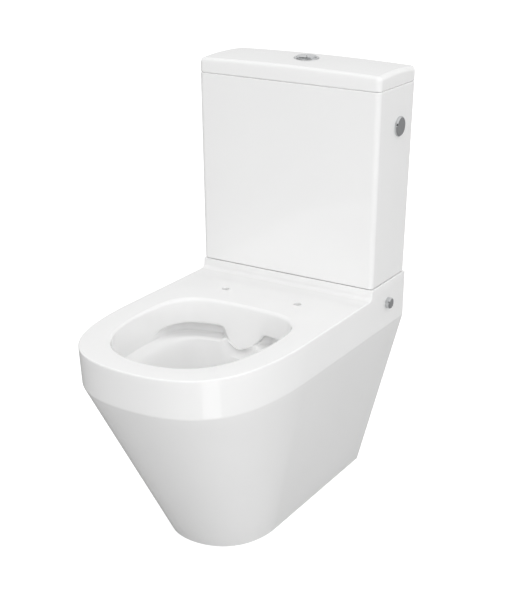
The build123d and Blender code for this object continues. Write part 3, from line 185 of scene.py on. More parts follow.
def value_between(tree, fac, low, high, socket):
    """A number that drifts between two limits."""
    spread = tree.nodes.new("ShaderNodeMapRange")
    spread.inputs["From Min"].default_value = NOISE_LOW
    spread.inputs["From Max"].default_value = NOISE_HIGH
    spread.inputs["To Min"].default_value = low
    spread.inputs["To Max"].default_value = high
    tree.links.new(fac, spread.inputs["Value"])
    tree.links.new(spread.outputs["Result"], socket)


def bumps(tree, shader, fac, strength, depth):
    """Small hills and dips from a pattern."""
    bump = tree.nodes.new("ShaderNodeBump")
    bump.inputs["Strength"].default_value = strength
    bump.inputs["Distance"].default_value = depth
    tree.links.new(fac, bump.inputs["Height"])
    tree.links.new(bump.outputs["Normal"], shader.inputs["Normal"])


print("noise is used between", NOISE_LOW, "and", NOISE_HIGH)


# %% [markdown]
# Sanitary china is white clay under a thick clear glaze. A plain white, glossy shader would do for a
# sketch, but the real glaze flows a little in the kiln, so reflections wander softly. A faint drift of
# shade, a long shallow ripple and a thin clear coat over the base give that.

# %% China
def make_china():
    """White clay under a thick clear glaze."""
    finish, tree, shader = new_finish("white_glazed_china")
    drift = noise_on(tree, scale=5.0, detail=2.0)
    darker, lighter = (0.928, 0.928, 0.926), (0.944, 0.944, 0.942)
    colour_between(tree, drift, darker, lighter, shader.inputs["Base Color"])
    haze = noise_on(tree, scale=38.0, detail=4.0)
    glossy, dull = 0.03, 0.06
    value_between(tree, haze, glossy, dull, shader.inputs["Roughness"])
    ripple = noise_on(tree, scale=22.0, detail=1.0)
    bumps(tree, shader, ripple, strength=0.05, depth=0.0006)
    shader.inputs["IOR"].default_value = 1.5
    shader.inputs["Coat Weight"].default_value = 0.35
    shader.inputs["Coat Roughness"].default_value = 0.02
    return finish


china = make_china()
print("finish:", china.name)


# %% [markdown]
# The button in the lid, the plug over the spare inlet and the caps over the side screws are chrome plated.
# A perfect mirror would look too clean. A cloudy shade, a fine haze and tiny pits break it just enough.

# %% Chrome
def make_chrome():
    """Bright plate with the haze that fingers leave."""
    finish, tree, shader = new_finish("chrome_plate")
    cloud = noise_on(tree, scale=70.0, detail=3.0)
    darker, lighter = (0.56, 0.57, 0.58), (0.62, 0.63, 0.64)
    colour_between(tree, cloud, darker, lighter, shader.inputs["Base Color"])
    haze = noise_on(tree, scale=900.0, detail=4.0)
    glossy, dull = 0.06, 0.11
    value_between(tree, haze, glossy, dull, shader.inputs["Roughness"])
    pits = noise_on(tree, scale=1400.0, detail=2.0)
    bumps(tree, shader, pits, strength=0.02, depth=0.0001)
    shader.inputs["Metallic"].default_value = 1.0
    return finish


chrome = make_chrome()
print("finish:", chrome.name)


# %% [markdown]
# The works in the cistern are moulded in white and in grey plastic. Both are one finish in two shades, so
# one function makes them. The fine grain is the one that a mould leaves on every piece.

# %% White and grey plastic
WHITE_SHADES, WHITE_GLOSS = ((0.74, 0.74, 0.73), (0.79, 0.79, 0.78)), (0.30, 0.42)
GREY_SHADES, GREY_GLOSS = ((0.33, 0.34, 0.35), (0.38, 0.39, 0.40)), (0.36, 0.48)


def make_plastic(name, shades, gloss):
    """Moulded plastic with the fine grain of its mould."""
    finish, tree, shader = new_finish(name)
    drift = noise_on(tree, scale=14.0, detail=2.0)
    colour_between(tree, drift, *shades, shader.inputs["Base Color"])
    haze = noise_on(tree, scale=400.0, detail=4.0)
    value_between(tree, haze, *gloss, shader.inputs["Roughness"])
    grain = noise_on(tree, scale=1800.0, detail=3.0)
    bumps(tree, shader, grain, strength=0.06, depth=0.0001)
    shader.inputs["IOR"].default_value = 1.49
    return finish


white_plastic = make_plastic("white_moulded_plastic", WHITE_SHADES, WHITE_GLOSS)
grey_plastic = make_plastic("grey_moulded_plastic", GREY_SHADES, GREY_GLOSS)
print("finishes:", white_plastic.name, grey_plastic.name)


# %% [markdown]
# Washers and seals are black rubber. It is never quite black: dust and bloom lift it in patches, and its
# rough skin blurs every reflection. So the shade drifts, the gloss is low and the grain is strong.

# %% Rubber
def make_rubber():
    """Dull black rubber with a little dust."""
    finish, tree, shader = new_finish("black_rubber")
    dust = noise_on(tree, scale=60.0, detail=6.0)
    darker, lighter = (0.020, 0.020, 0.021), (0.045, 0.045, 0.046)
    colour_between(tree, dust, darker, lighter, shader.inputs["Base Color"])
    haze = noise_on(tree, scale=300.0, detail=4.0)
    glossy, dull = 0.55, 0.75
    value_between(tree, haze, glossy, dull, shader.inputs["Roughness"])
    grain = noise_on(tree, scale=1200.0, detail=4.0)
    bumps(tree, shader, grain, strength=0.15, depth=0.0002)
    return finish


rubber = make_rubber()
print("finish:", rubber.name)


# %% [markdown]
# Bolts, screws, brackets and springs are steel with a thin plate of zinc. Zinc is duller than chrome and
# lies in clouds, so this finish has a wider range of shades and a rougher gloss.

# %% Steel
def make_steel():
    """Cloudy zinc plate."""
    finish, tree, shader = new_finish("zinc_plated_steel")
    cloud = noise_on(tree, scale=160.0, detail=5.0)
    darker, lighter = (0.46, 0.47, 0.48), (0.60, 0.60, 0.59)
    colour_between(tree, cloud, darker, lighter, shader.inputs["Base Color"])
    haze = noise_on(tree, scale=500.0, detail=3.0)
    glossy, dull = 0.26, 0.40
    value_between(tree, haze, glossy, dull, shader.inputs["Roughness"])
    pits = noise_on(tree, scale=900.0, detail=3.0)
    bumps(tree, shader, pits, strength=0.08, depth=0.0001)
    shader.inputs["Metallic"].default_value = 1.0
    return finish


steel = make_steel()
print("finish:", steel.name)

# %% [markdown]
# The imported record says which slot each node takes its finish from. So the nodes need no list of names
# here: one loop gives each of them the matching material, which changes nothing of its shape.

# %% Finishes on the nodes
FINISHES = {
    "china": china,
    "chrome": chrome,
    "white_plastic": white_plastic,
    "grey_plastic": grey_plastic,
    "rubber": rubber,
    "steel": steel,
}
node_slots = {}
for part in frame["record"]["subparts"]:
    node_slots[part["node"]] = part["material_slot"]
for name, node in nodes.items():
    finish = FINISHES[node_slots[name]]
    if node.material_slots:
        for slot in node.material_slots:
            slot.material = finish
    else:
        node.data.materials.append(finish)
print("finished nodes:", len(node_slots), "with", sorted(FINISHES))


# %% [markdown]
# The pan's outside is one skin: a foot, a pedestal that leans out, a soft crease, an upright band and a
# rounded rim. In plan each level is a flat rear, two straight sides and a nose of two Bezier arcs. Rows of
# points follow the profile at every place along the plan, so the glaze turns smoothly all the way round.

# %% Curves for the pan
NOSE_STEPS, FILLET_STEPS, PEDESTAL_STEPS, BAND_STEPS = 56, 8, 14, 6


def bezier(points, t):
    """A cubic Bezier arc at the values t, in any number of dimensions."""
    p0, p1, p2, p3 = [np.asarray(p, float) for p in points]
    t = np.asarray(t, float)[:, None]
    return (1 - t) ** 3 * p0 + 3 * (1 - t) ** 2 * t * p1 + 3 * (1 - t) * t**2 * p2 + t**3 * p3


def nose_line(half, straight_y, tip_y, fullness, z):
    """The nose at one height, from its right end round the tip to its left end."""
    reach = straight_y - fullness * (straight_y - tip_y)
    arc = [(half, straight_y), (half, reach), (fullness * half, tip_y), (0, tip_y)]
    right = bezier(arc, np.linspace(0, 1, NOSE_STEPS + 1))
    left = right[-2::-1] * (-1, 1)
    line = np.vstack([right, left])
    return np.column_stack([line, np.full(len(line), z)])


def rounded(corner, before, after, radius, steps):
    """Points of a fillet arc at a corner between two directions."""
    d1 = (before - corner) / np.linalg.norm(before - corner)
    d2 = (after - corner) / np.linalg.norm(after - corner)
    half_angle = 0.5 * math.acos(float(np.clip(d1 @ d2, -1, 1)))
    bisector = (d1 + d2) / np.linalg.norm(d1 + d2)
    centre = corner + bisector * radius / math.sin(half_angle)
    start = corner + d1 * radius / math.tan(half_angle) - centre
    end = corner + d2 * radius / math.tan(half_angle) - centre
    sweep = math.pi - 2 * half_angle
    points = []
    for k in range(steps + 1):
        done = sweep * k / steps
        mixed = math.sin(sweep - done) * start + math.sin(done) * end
        points.append(centre + mixed / math.sin(sweep))
    return points


def straight(start, end, steps):
    """Points along a straight run, without its ends."""
    return [start + (end - start) * k / steps for k in range(1, steps)]


def skin_column(foot, crease, rim, inward):
    """One profile of the skin from the floor to the deck."""
    under = rounded(crease, foot, rim, CREASE_R, FILLET_STEPS)
    top = rounded(rim, crease, rim + inward, RIM_R, FILLET_STEPS)
    column = [foot] + straight(foot, under[0], PEDESTAL_STEPS) + under
    column += straight(under[-1], top[0], BAND_STEPS) + top
    return column


print("profile rows:", 1 + PEDESTAL_STEPS + FILLET_STEPS + BAND_STEPS + FILLET_STEPS)

# %% [markdown]
# The two sides are flat, so they need few columns. Their columns carry on from the nose to the wall. The
# top of the sides is not straight, because the deck turns up into the riser that carries the cistern.

# %% Skin of the nose and sides
SIDE_STEPS, BEHIND_COVE = 10, 4
COVE_Y = RISER_Y - COVE_R
inward_x = np.array([-1.0, 0.0, 0.0])


def side_places(first, last):
    """Places along a side: even steps to the cove, one there, and the rest to the wall."""
    share = (COVE_Y - STRAIGHT_Y) / (WALL_Y - STRAIGHT_Y)
    before = np.linspace(0, share, SIDE_STEPS + 1)[1:]
    after = np.linspace(share, 1, BEHIND_COVE + 1)[1:]
    return [first + (last - first) * s for s in (*before, *after)]


def make_skin_columns():
    """All profiles from the wall at the right round the nose to the wall at the left."""
    foot = nose_line(BASE_HALF, BASE_STRAIGHT_Y, BASE_TIP_Y, BASE_FULLNESS, 0.0)
    crease = nose_line(PAN_HALF, STRAIGHT_Y, BAND_TIP_Y, NOSE_FULLNESS, BAND_Z)
    rim = nose_line(PAN_HALF, STRAIGHT_Y, NOSE_Y, NOSE_FULLNESS, DECK_Z)
    along = np.gradient(rim, axis=0)
    inward = np.column_stack([along[:, 1], -along[:, 0], 0 * along[:, 0]])
    inward[0] = inward_x
    inward[-1] = -inward_x
    inward /= np.linalg.norm(inward, axis=1)[:, None]
    outward = inward[:, 0] * rim[:, 0] + inward[:, 1] * (rim[:, 1] - STRAIGHT_Y) > 0
    inward[outward] *= -1
    nose = [skin_column(*row) for row in zip(foot, crease, rim, inward)]
    foot_y = side_places(BASE_STRAIGHT_Y, WALL_Y)
    rim_y = side_places(STRAIGHT_Y, WALL_Y)
    right = []
    for low, high in zip(foot_y, rim_y):
        a = np.array([BASE_HALF, low, 0.0])
        b = np.array([PAN_HALF, high, BAND_Z])
        c = np.array([PAN_HALF, high, DECK_Z])
        right.append(skin_column(a, b, c, inward_x))
    left = [[p * (-1, 1, 1) for p in column] for column in right]
    return np.array(right[::-1] + nose + left)


skin = make_skin_columns()
print("skin grid", skin.shape[:2])


# %% [markdown]
# The skin is too long for one grid, so it is gathered from several grids and flat fills that share their
# border points. The gatherer below keeps points and faces. Doubles along the seams are merged at the end,
# which closes the skin.

# %% Gathering a mesh
SEAM_GAP = 2e-5


class Gatherer:
    """Points and faces of one piece, from grids and flat fills."""

    def __init__(self):
        self.points = []
        self.faces = []

    def grid(self, rows, closed=False):
        """Quads over an array of points (columns, rows, 3); closed joins the last column to the first."""
        rows = np.asarray(rows, float)
        columns, count = rows.shape[:2]
        base = len(self.points)
        self.points += [tuple(p) for p in rows.reshape(-1, 3)]
        for i in range(columns if closed else columns - 1):
            j = (i + 1) % columns
            for k in range(count - 1):
                quad = [base + i * count + k, base + j * count + k]
                quad += [base + j * count + k + 1, base + i * count + k + 1]
                self.faces.append(quad)

    def flat(self, loops):
        """Triangles over a flat outline with holes, each a list of points."""
        sheet = bmesh.new()
        for loop in loops:
            corners = [sheet.verts.new(tuple(p)) for p in loop]
            for a, b in zip(corners, corners[1:] + corners[:1]):
                sheet.edges.new((a, b))
        bmesh.ops.triangle_fill(sheet, use_beauty=True, edges=sheet.edges[:])
        sheet.verts.index_update()
        base = len(self.points)
        self.points += [tuple(v.co) for v in sheet.verts]
        for face in sheet.faces:
            self.faces.append([base + v.index for v in face.verts])
        sheet.free()

    def mesh(self, name):
        """One clean mesh with doubles merged and thin leftovers dropped."""
        data = bpy.data.meshes.new(name)
        data.from_pydata(self.points, [], self.faces)
        work = bmesh.new()
        work.from_mesh(data)
        bmesh.ops.remove_doubles(work, verts=work.verts[:], dist=SEAM_GAP)
        bmesh.ops.dissolve_degenerate(work, edges=work.edges[:], dist=SEAM_GAP / 2)
        work.to_mesh(data)
        work.free()
        return data


def mark_edges(work, angle):
    """Keep edges with a steep angle, in degrees, sharp and shade over all others."""
    for face in work.faces:
        face.smooth = True
    for edge in work.edges:
        edge.smooth = edge.is_manifold and edge.calc_face_angle(0.0) < math.radians(angle)


def place_piece(name, data, finish):
    """An object with its place in its mesh and one finish."""
    piece = bpy.data.objects.new(name, data)
    scene.collection.objects.link(piece)
    data.materials.clear()
    data.materials.append(finish)
    return piece


pan_skin = Gatherer()
print("seams closer than", SEAM_GAP / MM, "mm are merged")

# %% [markdown]
# Where the deck meets the riser it turns up through a cove, and the rounded rim follows it up. The fillet
# is laid along that line. Above it stands the block of the riser, with a small round along its top edge,
# which makes the shadow line under the cistern.

# %% Skin of the riser
RIM_ROW = PEDESTAL_STEPS + FILLET_STEPS + BAND_STEPS
HOLE_STEPS = 48
VALVE_Y, GASKET_R, BOLT_HOLE_R, BOLT_X = metres(251, 55, 6, 80)
quarter = np.linspace(0, math.pi / 2, FILLET_STEPS + 1)


def circle(x, y, z, radius, steps=HOLE_STEPS):
    """A level ring of points."""
    turn = np.linspace(0, 2 * math.pi, steps, endpoint=False)
    return [(x + radius * math.cos(a), y + radius * math.sin(a), z) for a in turn]


def rail_fillet(side):
    """The rounded rim along the cove, on one side."""
    columns = []
    for gamma in quarter:
        y = COVE_Y + COVE_R * math.sin(gamma)
        z = DECK_Z + COVE_R - COVE_R * math.cos(gamma)
        out = np.array([0, -math.sin(gamma), math.cos(gamma)])
        centre = np.array([PAN_HALF - RIM_R, y, z]) - RIM_R * out
        column = [centre + RIM_R * (math.cos(a) * -inward_x + math.sin(a) * out) for a in quarter]
        columns.append([p * (side, 1, 1) for p in column])
    return columns


def riser_line(inset, z):
    """Plan line of the riser block from the wall at the right to the wall at the left."""
    right = [(PAN_HALF - inset, WALL_Y)]
    for a in quarter:
        x = PAN_HALF - RIM_R + (RIM_R - inset) * math.cos(a)
        right.append((x, RISER_Y + RIM_R - (RIM_R - inset) * math.sin(a)))
    left = [(-x, y) for x, y in right[::-1]]
    return np.array([(x, y, z) for x, y in right + left])


def add_riser(skin_mesh):
    """Side walls behind the cove, the cove, the riser's front, its rounded edge and its top."""
    shoulder_z = RISER_Z - JOINT_R
    for side, columns in ((1, skin[BEHIND_COVE::-1]), (-1, skin[-1 - BEHIND_COVE:])):
        rail = rail_fillet(side)
        skin_mesh.grid(rail)
        outline = [c[RIM_ROW] for c in columns]
        outline += [(side * PAN_HALF, WALL_Y, shoulder_z), (side * PAN_HALF, RISER_Y + RIM_R, shoulder_z)]
        outline += [column[0] for column in rail[:0:-1]]
        skin_mesh.flat([outline])
    cove = [[column[-1] * (side, 1, 1) for column in rail_fillet(1)] for side in (1, -1)]
    skin_mesh.grid(cove)
    front = [riser_line(0, DECK_Z + COVE_R), riser_line(0, shoulder_z)]
    skin_mesh.grid(np.array(front).transpose(1, 0, 2)[1:-1])
    edge = [riser_line(JOINT_R * (1 - math.cos(a)), shoulder_z + JOINT_R * math.sin(a)) for a in quarter]
    skin_mesh.grid(np.array(edge).transpose(1, 0, 2))
    holes = [circle(0, VALVE_Y, RISER_Z, GASKET_R, 2 * HOLE_STEPS)]
    holes += [circle(x, VALVE_Y, RISER_Z, BOLT_HOLE_R) for x in (-BOLT_X, BOLT_X)]
    skin_mesh.flat([list(edge[-1])] + holes)


pan_skin.grid(skin[:, :RIM_ROW + 1])
pan_skin.grid(skin[BEHIND_COVE:len(skin) - BEHIND_COVE, RIM_ROW:])
add_riser(pan_skin)
print("outside faces:", len(pan_skin.faces))

# %% [markdown]
# The bowl is rimless. In plan it is an egg of two Bezier arcs to the rear and two to the front, which meet
# at the widest line. Every row of the bowl has the same columns, drawn in from this plan by insets at the
# side, the rear and the front, so the rows join into one smooth grid. The bowl's own sizes are in
# millimetres, and its points are turned into metres at the end.

# %% Plan of the bowl
OPEN_HALF, OPEN_FRONT, OPEN_REAR = 134.5, -279.0, 36.0
WIDEST_SHARE, REAR_FULLNESS, FRONT_FULLNESS = 0.59, 0.85, 0.66
REAR_STEPS, FRONT_STEPS = 190, 64


def bowl_columns():
    """Whether each column is at the rear, its place from the widest line, and its side."""
    rear = np.linspace(0, 1, REAR_STEPS + 1)
    front = np.linspace(0, 1, FRONT_STEPS + 1)
    share = np.concatenate([rear[:-1], rear[:0:-1], front[:-1], front[:0:-1]])
    behind = np.repeat([True, False], [2 * REAR_STEPS, 2 * FRONT_STEPS])
    side = np.repeat([1.0, -1.0, 1.0], [REAR_STEPS, REAR_STEPS + FRONT_STEPS, FRONT_STEPS])
    return behind, share, side


behind, share, hand = bowl_columns()


def bowl_line(side, rear, front):
    """Plan points of one row, drawn in by three insets, each a number or one per column."""
    half = OPEN_HALF - side
    rear_y = OPEN_REAR - rear
    front_y = OPEN_FRONT + front
    widest = front_y + WIDEST_SHARE * (rear_y - front_y)
    end_y = np.where(behind, rear_y, front_y)
    full = np.where(behind, REAR_FULLNESS, FRONT_FULLNESS)
    b0, b1 = (1 - share) ** 3, 3 * (1 - share) ** 2 * share
    b2, b3 = 3 * (1 - share) * share**2, share**3
    x = hand * half * (b0 + b1 + full * b2)
    y = widest * b0 + (widest + full * (end_y - widest)) * b1 + end_y * (b2 + b3)
    return x, y


print("bowl columns:", len(share))

# %% [markdown]
# The opening's edge is rounder at the rear than at the front. At the rear the wall becomes a skirt that
# hangs free in front of a recess, where the flush water comes out, and in the middle a tongue hangs down to
# split the water. Two weights per column, from 0 to 1, say how much it has of the recess and of the tongue.

# %% Edge, recess and tongue
DECK = DECK_Z / MM
UPPER_INSET = 3.0
FRONT_EDGE_R, REAR_EDGE_R, EDGE_START_Y, EDGE_GROWTH = 4.5, 7.5, -150.0, 1.5
SKIRT_FADE_START, SKIRT_FADE_END = -76.0, 20.0
TONGUE_TIP_R, TONGUE_CORNER_R, TONGUE_DROP = 42.0, 12.0, 31.0


def soft_step(value):
    """0 to 1 with level ends."""
    value = np.clip(value, 0, 1)
    return value * value * (3 - 2 * value)


def tongue_share(x):
    """How far the tongue hangs at a distance from the middle: a round tip, then a round inner corner."""
    turn = math.acos(1 - TONGUE_DROP / (TONGUE_TIP_R + TONGUE_CORNER_R))
    bend_x = TONGUE_TIP_R * math.sin(turn)
    end_x = (TONGUE_TIP_R + TONGUE_CORNER_R) * math.sin(turn)
    x = np.abs(x)
    tip = TONGUE_TIP_R - np.sqrt(TONGUE_TIP_R**2 - np.minimum(x, bend_x) ** 2)
    beside = np.clip(end_x - x, 0, end_x - bend_x)
    corner = TONGUE_CORNER_R - np.sqrt(TONGUE_CORNER_R**2 - beside**2)
    return np.where(x < bend_x, 1 - tip / TONGUE_DROP, corner / TONGUE_DROP)


edge_x, edge_y = bowl_line(UPPER_INSET, UPPER_INSET, UPPER_INSET)
edge_share = soft_step((edge_y - EDGE_START_Y) / (OPEN_REAR - EDGE_START_Y)) ** EDGE_GROWTH
edge_r = FRONT_EDGE_R + (REAR_EDGE_R - FRONT_EDGE_R) * edge_share
recess = soft_step((edge_y - SKIRT_FADE_START) / (SKIRT_FADE_END - SKIRT_FADE_START)) * behind
tongue = tongue_share(edge_x) * (edge_y > 0) * behind
print("columns with recess:", int((recess > 0.5).sum()), "with tongue:", int((tongue > 0.5).sum()))

# %% [markdown]
# From the deck down come the rounded edge of the opening and the upper wall, which ends in the rounded lip
# of the skirt. The wall is nearly upright. Only the tongue leans forward, more and more towards its tip.

# %% Edge and upper wall of the bowl
LEDGE_Z, LEDGE_DROP, LEDGE_WIDTH = 346.0, 17.0, 22.0
SKIRT_Z, LEAN_TOP, TONGUE_LEAN = 359.5, 397.0, 14.0
LIP_R, TONGUE_LIP_LOSS = 4.5, 0.4
EDGE_STEPS, WALL_STEPS, LIP_STEPS = 8, 12, 8


def wall_inset(z):
    """Inset of the upper wall at a height, with the tongue leaning forward."""
    below = np.clip(LEAN_TOP - z, 0, None) / (LEAN_TOP - SKIRT_Z + TONGUE_DROP)
    lean = TONGUE_LEAN * tongue * below**2
    return UPPER_INSET * (DECK - z) / (DECK - LEDGE_Z) + lean


tip_z = SKIRT_Z - TONGUE_DROP * tongue
tip_inset = wall_inset(tip_z)
lip_r = LIP_R * (1 - TONGUE_LIP_LOSS * tongue)
lip_z = tip_z + lip_r


def edge_and_wall():
    """Insets and heights, one pair of arrays per row, from the deck down to the lip."""
    rows = []
    wall_top = DECK - edge_r
    reach = edge_r + wall_inset(wall_top)
    for a in np.linspace(0, math.pi / 2, EDGE_STEPS + 1):
        rows.append((reach * math.sin(a) - edge_r, wall_top + edge_r * math.cos(a)))
    for k in range(1, WALL_STEPS + 1):
        z = wall_top + (lip_z - wall_top) * k / WALL_STEPS
        rows.append((wall_inset(z), z))
    return rows


print("rows down to the lip:", len(edge_and_wall()))

# %% [markdown]
# Behind the lip the wall turns up into a hollow and comes down to the floor of the recess. This profile is
# whole at the rear. Towards the sides each of its rows is blended into the plain wall, so the recess swells
# out of the wall without a corner. Under the tongue there is no hollow: the rows close onto its tip.

# %% Recess and ledge of the bowl
TONGUE_FILL, RECESS_DROP = 0.93, 7.7
# Depth behind the lip and height above the middle of the lip.
HOLLOW_ROWS = ((0, 2), (1, 4), (3, 5.5), (5.5, 5), (7.5, 3), (8.5, 0))
# Depth behind the lip and height above the floor of the recess.
FLOOR_ROWS = ((8.5, 5), (7.5, 2), (5, 0.5), (2, 0))
LEDGE_INSETS, LEDGE_LIFT = (8.0, 13.0), 0.2
# Inset past the tip of the tongue and height above it.
TIP_FLOOR, TIP_LEDGE = (1.5, 1.5), (1.9, 0.9)


def close_at_tip(inset, z, tip):
    """A row's inset and height, closed onto the tip where the tongue hangs."""
    past, above = tip
    plain = 1 - tongue
    return inset * plain + (tip_inset + past) * tongue, z * plain + (tip_z + above) * tongue


def hollow_profile():
    """Insets and heights of the whole recess: the lip, the hollow behind it and its floor."""
    rows = []
    middle = wall_inset(lip_z) - lip_r
    for a in np.linspace(0, math.pi, LIP_STEPS + 1)[1:]:
        rows.append((middle + lip_r * math.cos(a), lip_z - lip_r * math.sin(a)))
    back = middle - lip_r
    hollow = 1 - TONGUE_FILL * tongue
    for deep, high in HOLLOW_ROWS:
        rows.append((back - deep * hollow, lip_z + high * hollow))
    for deep, lift in FLOOR_ROWS:
        rows.append(close_at_tip(back - deep * hollow, LEDGE_Z - RECESS_DROP + lift, TIP_FLOOR))
    return rows


def recess_rows():
    """The recess at the rear, blended into the plain wall towards the sides."""
    rows = []
    profile = hollow_profile()
    for k, (inset, z) in enumerate(profile, 1):
        plain_z = lip_z + (LEDGE_Z - lip_z) * k / len(profile)
        plain = wall_inset(plain_z)
        rows.append((plain + (inset - plain) * recess, plain_z + (z - plain_z) * recess))
    return rows


def ledge_height(inset):
    """Height of the plain ledge at an inset."""
    return LEDGE_Z - LEDGE_DROP * (inset - UPPER_INSET) / LEDGE_WIDTH


def ledge_rows():
    """The ledge in front of the recess, never higher than the floor of the recess."""
    floor_z = LEDGE_Z - RECESS_DROP * recess + LEDGE_LIFT
    levels = [np.minimum(ledge_height(inset), floor_z) for inset in LEDGE_INSETS]
    return [close_at_tip(inset, level, TIP_LEDGE) for inset, level in zip(LEDGE_INSETS, levels)]


upper_rows = edge_and_wall() + recess_rows() + ledge_rows()
print("rows down to the ledge:", len(upper_rows))

# %% [markdown]
# The lower bowl narrows to the sump. A few levels give its insets, and a smooth curve through them gives all
# heights between. A soft turn leads from the ledge into it. The lowest part and the trap stay as the solid
# has them.

# %% Lower bowl
LEDGE_IN, LEDGE_END, TIP_END = 25.0, 17.0, (1.0, 0.4)
BOWL_Z = LEDGE_Z - LEDGE_DROP
# Height, then the insets past the ledge at the side, the rear and the front.
BOWL_LEVELS = (
    (BOWL_Z, -2.5, -7.0, -4.0),
    (284.7, 6.5, -3.0, 20.0),
    (236.2, 23.5, 2.0, 63.0),
    (185.5, 44.5, 8.0, 128.0),
    (130.7, 60.5, 17.0, 159.0),
)
LOWER_TOP_Z, LOWEST_Z = 311.0, 185.5
UNDER_TONGUE, TURN_DROP = 18.0, 2.0
TURN_STEPS, LOWER_STEPS = 8, 19


def smooth_curve(xs, ys, x):
    """A smooth curve through a few points, read at x."""
    xs, ys = np.asarray(xs, float), np.asarray(ys, float)
    slopes = np.gradient(ys, xs)
    i = int(np.clip(np.searchsorted(xs, x) - 1, 0, len(xs) - 2))
    h = xs[i + 1] - xs[i]
    t = (x - xs[i]) / h
    near = (2 * t**3 - 3 * t**2 + 1) * ys[i] + (t**3 - 2 * t**2 + t) * h * slopes[i]
    far = (3 * t**2 - 2 * t**3) * ys[i + 1] + (t**3 - t**2) * h * slopes[i + 1]
    return near + far


def lower_insets(z):
    """Insets at the side, the rear and the front for a height in the lower bowl."""
    heights, *columns = zip(*BOWL_LEVELS[::-1])
    return [LEDGE_IN + smooth_curve(heights, column, z) for column in columns]


def row_at(insets, z):
    """Points of one row from its three insets and its height."""
    x, y = bowl_line(*insets)
    return np.column_stack([x, y, z + 0 * x])


def turn_into_bowl():
    """Rows of the soft turn from the ledge down into the lower bowl."""
    inset, z = close_at_tip(LEDGE_END, ledge_height(LEDGE_END), TIP_END)
    start = row_at([inset] * 3, z)
    under = LEDGE_IN - UNDER_TONGUE * tongue**2
    corner = row_at([under + inset for inset in BOWL_LEVELS[0][1:]], BOWL_Z - TURN_DROP * tongue)
    end = row_at(lower_insets(LOWER_TOP_Z), LOWER_TOP_Z)
    turn = np.linspace(0, 1, TURN_STEPS + 1)
    return [(1 - t) ** 2 * start + 2 * t * (1 - t) * corner + t**2 * end for t in turn]


def bowl_grid():
    """All rows of the bowl as points in metres, column by column."""
    rows = [row_at([inset] * 3, z) for inset, z in upper_rows]
    rows += turn_into_bowl()
    for z in np.linspace(LOWER_TOP_Z, LOWEST_Z, LOWER_STEPS + 1)[1:]:
        rows.append(row_at(lower_insets(z), z))
    return np.array(rows).transpose(1, 0, 2) * MM


bowl = bowl_grid()
pan_skin.grid(bowl, closed=True)
print("bowl grid", bowl.shape[:2])

# %% [markdown]
# The flat deck joins the rim and the opening, and the seat is bolted through its two holes. Quads would
# have to wind round three openings. On a flat face nobody sees the difference, so triangles fill it.

# %% Deck
SEAT_HOLE_R, SEAT_HOLE_X, SEAT_HOLE_Y = metres(7.5, 77.5, 97)
deck_edge = [column[-1] for column in skin[BEHIND_COVE:len(skin) - BEHIND_COVE]]
seat_holes = [circle(x, SEAT_HOLE_Y, DECK_Z, SEAT_HOLE_R) for x in (-SEAT_HOLE_X, SEAT_HOLE_X)]
pan_skin.flat([deck_edge, list(bowl[:, 0])] + seat_holes)
print("pan skin faces:", len(pan_skin.faces))

# %% [markdown]
# The new skin covers the outside of the pan and its bowl. The hidden side, with the open back, the trap and
# the outlet, is kept from the solid. So each face of the solid is asked whether it lies in the hollow of the
# bowl or of its recess, where the old walls must go because the new ones stand a little off them.

# %% Old walls of the bowl
BELOW_DECK, EDGE_MARGIN = 0.02, 1.0
SOLID_EDGE_R, SOLID_WALL = 10.0, 10.0
RECESS_LOW_Z, RECESS_HALF, RECESS_FRONT, RECESS_BACK = 334.0, 146.5, -58.0, 75.0
RECESS_FULLNESS, RECESS_STEPS = 0.92, 224


def recess_outline():
    """Half of the line in the middle of the wall behind the recess, from the rear to the side."""
    reach = RECESS_FRONT + RECESS_FULLNESS * (RECESS_BACK - RECESS_FRONT)
    rear = [(0, RECESS_BACK), (RECESS_FULLNESS * RECESS_HALF, RECESS_BACK)]
    side = [(RECESS_HALF, reach), (RECESS_HALF, RECESS_FRONT)]
    return bezier(rear + side, np.linspace(0, 1, RECESS_STEPS))


recess_x, recess_y = recess_outline().T


def inside_ring(x, y, ring_x, ring_y):
    """True inside a closed line: a ray to one side crosses it an odd number of times."""
    last_x, last_y = np.roll(ring_x, 1), np.roll(ring_y, 1)
    spans = (last_y > y) != (ring_y > y)
    rise = (y - last_y[spans]) / (ring_y[spans] - last_y[spans])
    crossings = last_x[spans] + rise * (ring_x[spans] - last_x[spans])
    return int((x < crossings).sum()) % 2 == 1


def inside_bowl(point, normal):
    """True for a point in the hollow of the solid's bowl or of its recess, above the lowest row."""
    x, y, z = [v / MM for v in point]
    if z < LOWEST_Z or z > DECK - BELOW_DECK:
        return False
    wall_y = np.interp(abs(x), recess_x, recess_y, right=RECESS_FRONT)
    if RECESS_LOW_Z < z < DECK - SOLID_EDGE_R and RECESS_FRONT < y < wall_y:
        return True
    insets = lower_insets(z)
    if z > BOWL_Z:
        insets = [max(LEDGE_Z - z, 0) * LEDGE_WIDTH / LEDGE_DROP] * 3
    rounded_edge = z > DECK - SOLID_EDGE_R and normal.z > 0
    grow = SOLID_EDGE_R + EDGE_MARGIN if rounded_edge else SOLID_WALL / 2
    return inside_ring(x, y, *bowl_line(*[inset - grow for inset in insets]))


print("wall behind the recess reaches", round(recess_y.max(), 1), "mm back")

# %% [markdown]
# The skin is turned so that it faces outwards. A copy of the solid is merged, and every face that the skin
# covers or the new bowl replaces is taken out. The skin and the rest together make the finished piece.

# %% Join skin and hidden side
COVERED, SAME_WAY = 0.0009, 0.3
DECK_LEVEL, DOUBLES = 1e-5, 1e-6
SKIN_ANGLE, SOLID_ANGLE = 35.0, 14.0


